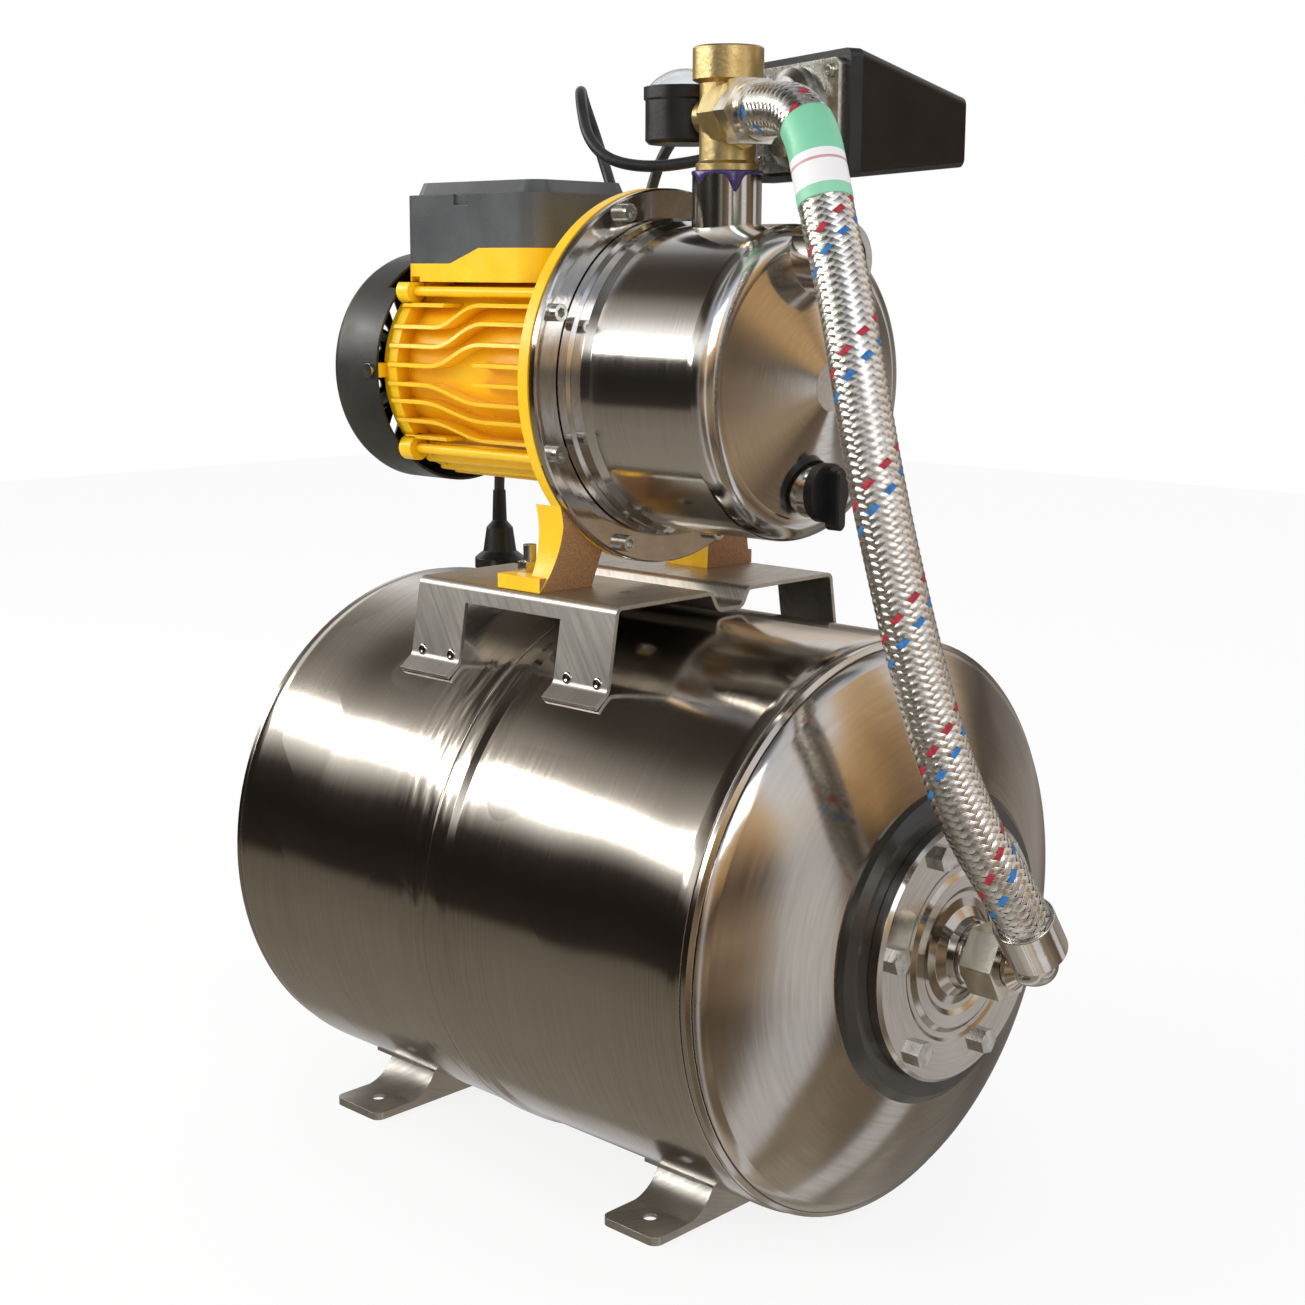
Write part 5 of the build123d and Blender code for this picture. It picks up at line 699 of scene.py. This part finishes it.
def paperFinish(name, recipe):
    material, tree, place = startMaterial(name)
    along = addNode(tree, "ShaderNodeAttribute", {"attribute_name": "along"}).outputs["Fac"]
    colour = colourRamp(tree, along, recipe["stripes"], "CONSTANT")
    crumple = wander(tree, place, recipe["crumple"], 0, 1)
    bump = addNode(tree, "ShaderNodeBump", {"Distance": recipe["bump"]}, {"Height": crumple})
    gloss = wander(tree, place, recipe["glossPatch"], *recipe["roughness"])
    endMaterial(tree, {}, {"Base Color": colour, "Roughness": gloss, "Normal": bump.outputs[0]})
    return material


finishes["band paper"] = paperFinish("printed paper band", paper)
hoseBand = addSleeve("hose_band", hoseLine, paperBand, ["band paper"], "dial_white")

motorCable = addCord("motor_lead", cable["motorPoints"], cable["radius"], "sheath")[0]
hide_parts("motor_cable")
mainsRoute = cable["mainsPoints"] + hankTurns(hank) + cable["tailPoints"]
mainsCable = addCord("mains_lead", mainsRoute, cable["radius"], "sheath")[0]
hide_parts("mains_cord", "cord_hank", "plug_tail")
print("cords laid")

# Spot welds that hold the platform's toes to the tank, each a low ring round a dimple
toeWelds = {"x": (-0.0691, -0.0426, 0.059, 0.0837), "angle": 53.3, "from": 0.25, "steps": 20,
            "profile": [(0.00391, -0.0003), (0.00374, 0.0001), (0.00289, 0.0007), (0.00204, 0.000665),
                        (0.00102, 0.00021)]}


def addToeWelds(setup):
    mesh = nodes["pump_platform"].data
    platform = BVHTree.FromPolygons([v.co for v in mesh.vertices], [p.vertices for p in mesh.polygons])
    turn = radians(setup["angle"])
    forms = []
    for side in (-1, 1):
        outward = Vector((0, side * cos(turn), sin(turn)))
        for x in setup["x"]:
            start = Vector((x, 0, tankAxis)) + outward * setup["from"]
            spot, facing = platform.ray_cast(start, -outward)[:2]
            forms.append(turnedRings(spot, facing, setup["profile"], setup["steps"]))
    return addPiece("platform_spot_welds", *joined(forms), ["mirror steel"], "polished_stainless")


addToeWelds(toeWelds)

# Thread sealant squeezed out over the outlet nozzle's top edge, with runs down it: the way round
# to each, its length and its width in degrees
sealant = {"centre": (0.0852, 0.0), "radius": 0.02025, "top": 0.6041, "edge": 0.0022, "steps": 96,
           "runs": [(-34.8, 0.0105, 11), (-98, 0.006, 9), (60, 0.005, 8), (165, 0.007, 10)],
           "thickness": 0.0004, "inside": 0.001, "crest": 0.0002, "shoulder": 0.0006, "belly": 0.8,
           "sunk": 0.0001}


def addSealant(setup):
    cx, cy = setup["centre"]
    radius, top, steps = setup["radius"], setup["top"], setup["steps"]
    outer = radius + setup["thickness"]
    points, faces = [], []
    for k in range(steps):
        angle = 360 * k / steps
        fall = setup["edge"]
        for turn, length, width in setup["runs"]:
            off = (angle - turn + 180) % 360 - 180
            fall += length * np.exp(-(off / width) ** 2)
        ray = Vector((cos(radians(angle)), sin(radians(angle)), 0))
        profile = [(radius - setup["inside"], top), (radius, top + setup["crest"]),
                   (outer, top - setup["shoulder"]), (outer, top - fall * setup["belly"]),
                   (radius - setup["sunk"], top - fall)]
        points += [Vector((cx, cy, z)) + ray * reach for reach, z in profile]
    rows = len(profile)
    for k in range(steps):
        a, b = rows * k, rows * ((k + 1) % steps)
        faces += [(a + r, a + r + 1, b + r + 1, b + r) for r in range(rows - 1)]
        faces.append((a + rows - 1, a, b, b + rows - 1))
    return addPiece("thread_sealant", points, faces, ["sealant"], "black_plastic")


addSealant(sealant)

# Thread on the tank's water nipple, where it shows behind the union nut
nippleThread = {"from": 0.2695, "to": 0.2795, "pitch": 0.0023, "root": 0.0164, "crest": 0.0171, "steps": 48,
                "profile": [(0.2, "root"), (0.45, "crest"), (0.6, "crest"), (0.95, "root")]}


def addNippleThread(setup):
    rings, x = [(setup["root"], 0.0)], 0.0
    while x + setup["pitch"] <= setup["to"] - setup["from"]:
        rings += [(setup[level], x + setup["pitch"] * share) for share, level in setup["profile"]]
        x += setup["pitch"]
    form = turnedRings((setup["from"], 0, tankAxis), (1, 0, 0), rings, setup["steps"])
    return addPiece("nipple_thread", *form, ["mirror steel"], "polished_stainless", False)


addNippleThread(nippleThread)

# Pressure switch: pan-head screws that clamp the diaphragm plate into the black tray
plateScrews = {"port": (0.0852, 0.0, 0.636), "turn": 70, "reach": 0.0452, "across": 0.039, "up": 0.0235,
               "profile": [(0.0042, 0), (0.0042, 0.00091), (0.00336, 0.00221), (0.001764, 0.0026),
                           (0.00168, 0.00117)], "steps": 20}


def addPlateScrews(setup):
    turn = radians(setup["turn"])
    outward = Vector((cos(turn), sin(turn), 0))
    level = Vector((-sin(turn), cos(turn), 0))
    middle = Vector(setup["port"]) + outward * setup["reach"]
    forms = []
    for across in (-setup["across"], setup["across"]):
        for up in (-setup["up"], setup["up"]):
            spot = middle + level * across + Vector((0, 0, up))
            forms.append(turnedRings(spot, -outward, setup["profile"], setup["steps"]))
    return addPiece("switch_plate_screws", *joined(forms), ["zinc"], "zinc_steel")


addPlateScrews(plateScrews)

# Gauge scale printed on the dial: ticks (length, width) and plain numbers, zero at the resting pointer
scale = {"centre": (0.0354, 0.01813), "top": 0.64204, "zero": 205, "sweep": 270, "majors": 10, "minors": 5,
         "outer": 0.0182, "majorTick": (0.0034, 0.0007), "minorTick": (0.0018, 0.00036), "ink": 0.00008,
         "numbers": range(0, 11, 2), "numberRadius": 0.0118, "numberSize": 0.0042, "numberInk": 0.00004,
         "numberLift": 0.00006}


def addGaugeScale(setup):
    points, faces = [], []
    cx, cy = setup["centre"]
    total = setup["majors"] * setup["minors"]
    for k in range(total + 1):
        turn = radians(setup["zero"] - setup["sweep"] * k / total)
        length, width = setup["minorTick"] if k % setup["minors"] else setup["majorTick"]
        half = width / 2
        ray = Vector((cos(turn), sin(turn), 0))
        side = Vector((-sin(turn), cos(turn), 0))
        start = len(points)
        for z in (setup["top"], setup["top"] + setup["ink"]):
            for reach, swing in ((setup["outer"], -half), (setup["outer"], half),
                                 (setup["outer"] - length, half), (setup["outer"] - length, -half)):
                points.append(Vector((cx, cy, z)) + ray * reach + side * swing)
        faces += [tuple(start + i for i in face) for face in
                  ((3, 2, 1, 0), (4, 5, 6, 7), (0, 1, 5, 4), (1, 2, 6, 5), (2, 3, 7, 6), (3, 0, 4, 7))]
    addPiece("gauge_ticks", points, faces, ["ink"], "black_plastic", False)
    upTurn = radians(setup["zero"] - setup["sweep"] / 2 - 90)
    for k in setup["numbers"]:
        turn = radians(setup["zero"] - setup["sweep"] * k / setup["majors"])
        data = bpy.data.curves.new(f"gauge_number_{k}", "FONT")
        data.body = str(k)
        data.size = setup["numberSize"]
        data.extrude = setup["numberInk"]
        data.align_x = "CENTER"
        data.align_y = "CENTER"
        data.materials.append(finishes["ink"])
        number = bpy.data.objects.new(f"gauge_number_{k}", data)
        number.location = (cx + setup["numberRadius"] * cos(turn), cy + setup["numberRadius"] * sin(turn),
                           setup["top"] + setup["numberLift"])
        number.rotation_euler = (0, 0, upTurn)
        fit(number)


addGaugeScale(scale)
print("trim added")

# Studio: white floor and backdrop, a long lamp on the left and a weak one on the right
floor = {"size": 8.0, "colour": "#FFFFFF", "glow": 0.86}
lamps = {
    "key": {"at": (-1.55, -1.4, 1.22), "size": (2.6, 0.36), "power": 25.0, "colour": "#FFFCF6"},
    "fill": {"at": (1.9, -0.9, 1.5), "size": (1.1, 0.9), "power": 9.0, "colour": "#F6F8FF"},
}
aim = (0.05, 0.0, 0.36)
# Metal sees a yard round the set instead of the white studio. Its open side has grey ground, a dark
# wall, a bright gap of sky and a dark roof. The rest has brown walls, sunlit at the top and greyer
# away from the warm side, under blue sky and a grey roof, with pale posts in front.
surround = {
    "lit": 0.74, "seen": 1.0, "shine": 1.4, "openSide": 222, "blend": (-0.1, 0.55),
    "rippleScale": 2.2, "rippleDetail": 2.0, "openRipple": 0.02, "restRipple": 0.16,
    "warmSide": -15, "warmReach": (-0.3, 0.6), "warmth": (0.35, 1.0),
    # the way round to each post, its half width in degrees and how far it hides the wall
    "posts": [(-74, 9, 0.85), (-38, 4, 0.6), (10, 8, 0.7), (58, 6, 0.6), (150, 10, 0.7)],
    "postColour": "#E6E9EE", "postEdges": (1.4, 0.6),
    # how high a ray points, from -1 straight down to 1 straight up, and the colour there
    "open": [(-1.0, "#8E877C"), (-0.45, "#7C756B"), (-0.28, "#6C655B"), (-0.22, "#2E2A25"), (0.0, "#1F1B18"),
             (0.2, "#26211D"), (0.27, "#8F8C87"), (0.34, "#F5F4F2"), (0.46, "#FFFFFF"), (0.56, "#A9A49C"),
             (0.68, "#443D36"), (0.8, "#2B2622"), (1.0, "#4A453F")],
    "rest": [(-1.0, "#BDB3A4"), (-0.75, "#7E705E"), (-0.45, "#5A4C3D"), (-0.18, "#97836B"), (0.05, "#55473A"),
             (0.22, "#B08E64"), (0.38, "#DDBB8A"), (0.48, "#EEF2F8"), (0.62, "#A9B4C6"), (0.78, "#5C5853"),
             (1.0, "#5C5853")],
}


def addFloor(setup):
    half = setup["size"] / 2
    mesh = bpy.data.meshes.new("floor")
    mesh.from_pydata([(-half, -half, 0), (half, -half, 0), (half, half, 0), (-half, half, 0)], [],
                     [(0, 1, 2, 3)])
    material, tree = startMaterial("white studio floor")[:2]
    colour = {"Color": linearColour(setup["colour"])}
    matt = addNode(tree, "ShaderNodeBsdfDiffuse", colour).outputs[0]
    glow = addNode(tree, "ShaderNodeEmission", colour).outputs[0]
    rays = addNode(tree, "ShaderNodeLightPath")
    seen = addNode(tree, "ShaderNodeMath", {"operation": "MULTIPLY", 1: setup["glow"]},
                   {0: rays.outputs["Is Camera Ray"]})
    mixed = addNode(tree, "ShaderNodeMixShader", {}, {0: seen.outputs[0], 1: matt, 2: glow})
    addNode(tree, "ShaderNodeOutputMaterial", {}, {"Surface": mixed.outputs[0]})
    mesh.materials.append(material)
    plane = bpy.data.objects.new("floor", mesh)
    bpy.context.scene.collection.objects.link(plane)
    plane.visible_glossy = False    # metal sees the yard's ground instead


def addLamp(name, setup):
    data = bpy.data.lights.new(name, "AREA")
    data.shape = "RECTANGLE"
    data.size, data.size_y = setup["size"]
    data.energy = setup["power"]
    data.color = linearColour(setup["colour"])[:3]
    lamp = bpy.data.objects.new(name, data)
    lamp.location = setup["at"]
    lamp.rotation_euler = (Vector(aim) - Vector(setup["at"])).to_track_quat("-Z", "Y").to_euler()
    bpy.context.scene.collection.objects.link(lamp)


# How far a ray points to one side, as a share between the limits given
def sideShare(tree, way, azimuth, limits):
    side = (cos(radians(azimuth)), sin(radians(azimuth)), 0)
    reach = addNode(tree, "ShaderNodeVectorMath", {"operation": "DOT_PRODUCT", 1: side}, {0: way})
    return addNode(tree, "ShaderNodeMapRange", limits, {"Value": reach.outputs["Value"]}).outputs[0]


def addSurround(setup):
    world = bpy.data.worlds.new("surround")
    bpy.context.scene.world = world
    world.use_nodes = True
    tree = world.node_tree
    tree.nodes.clear()
    way = addNode(tree, "ShaderNodeTexCoord").outputs["Generated"]
    ripple = addNode(tree, "ShaderNodeTexNoise", {"Scale": setup["rippleScale"],
                     "Detail": setup["rippleDetail"]}, {"Vector": way})
    rise = addNode(tree, "ShaderNodeSeparateXYZ", {}, {"Vector": way}).outputs[2]
    ramps = {}
    for which in ("rest", "open"):
        swell = setup[which + "Ripple"]
        limits = noiseSpread | {"To Min": 0.5 - swell / 2, "To Max": 0.5 + swell / 2}
        swing = addNode(tree, "ShaderNodeMapRange", limits, {"Value": ripple.outputs[0]})
        height = addNode(tree, "ShaderNodeMath", {"operation": "MULTIPLY_ADD", 1: 0.5},
                         {0: rise, 2: swing.outputs[0]})
        marks = [((level + 1) / 2, code) for level, code in setup[which]]
        ramps[which] = colourRamp(tree, height.outputs[0], marks)
    low, high = setup["blend"]
    share = sideShare(tree, way, setup["openSide"],
                      {"interpolation_type": "SMOOTHSTEP", "From Min": low, "From Max": high})
    low, high = setup["warmReach"]
    cool, warm = setup["warmth"]
    warmth = sideShare(tree, way, setup["warmSide"],
                       {"From Min": low, "From Max": high, "To Min": cool, "To Max": warm})
    wall = addNode(tree, "ShaderNodeHueSaturation", {},
                   {"Saturation": warmth, "Color": ramps["rest"]}).outputs[0]
    flat = addNode(tree, "ShaderNodeVectorMath", {"operation": "MULTIPLY", 1: (1, 1, 0)}, {0: way})
    level = addNode(tree, "ShaderNodeVectorMath", {"operation": "NORMALIZE"}, {0: flat.outputs[0]})
    foot, crown = setup["postEdges"]
    for azimuth, width, cover in setup["posts"]:
        post = sideShare(tree, level.outputs[0], azimuth,
                         {"interpolation_type": "SMOOTHSTEP", "From Min": cos(radians(width * foot)),
                          "From Max": cos(radians(width * crown)), "To Max": cover})
        wall = addNode(tree, "ShaderNodeMix", {"data_type": "RGBA", 7: linearColour(setup["postColour"])},
                       {0: post, 6: wall}).outputs[2]
    yard = addNode(tree, "ShaderNodeMix", {"data_type": "RGBA"}, {0: share, 6: wall, 7: ramps["open"]})
    white = linearColour("#FFFFFF")
    lit, seen = [addNode(tree, "ShaderNodeBackground", {"Color": white, "Strength": setup[k]})
                 for k in ("lit", "seen")]
    shine = addNode(tree, "ShaderNodeBackground", {"Strength": setup["shine"]}, {"Color": yard.outputs[2]})
    rays = addNode(tree, "ShaderNodeLightPath")
    direct = addNode(tree, "ShaderNodeMath", {"operation": "MAXIMUM"},
                     {0: rays.outputs["Is Camera Ray"], 1: rays.outputs["Is Transmission Ray"]})
    first = addNode(tree, "ShaderNodeMixShader", {},
                    {0: rays.outputs["Is Glossy Ray"], 1: lit.outputs[0], 2: shine.outputs[0]})
    both = addNode(tree, "ShaderNodeMixShader", {},
                   {0: direct.outputs[0], 1: first.outputs[0], 2: seen.outputs[0]})
    addNode(tree, "ShaderNodeOutputWorld", {}, {"Surface": both.outputs[0]})


addFloor(floor)
for name, setup in lamps.items():
    addLamp(name, setup)
addSurround(surround)
print("studio set")
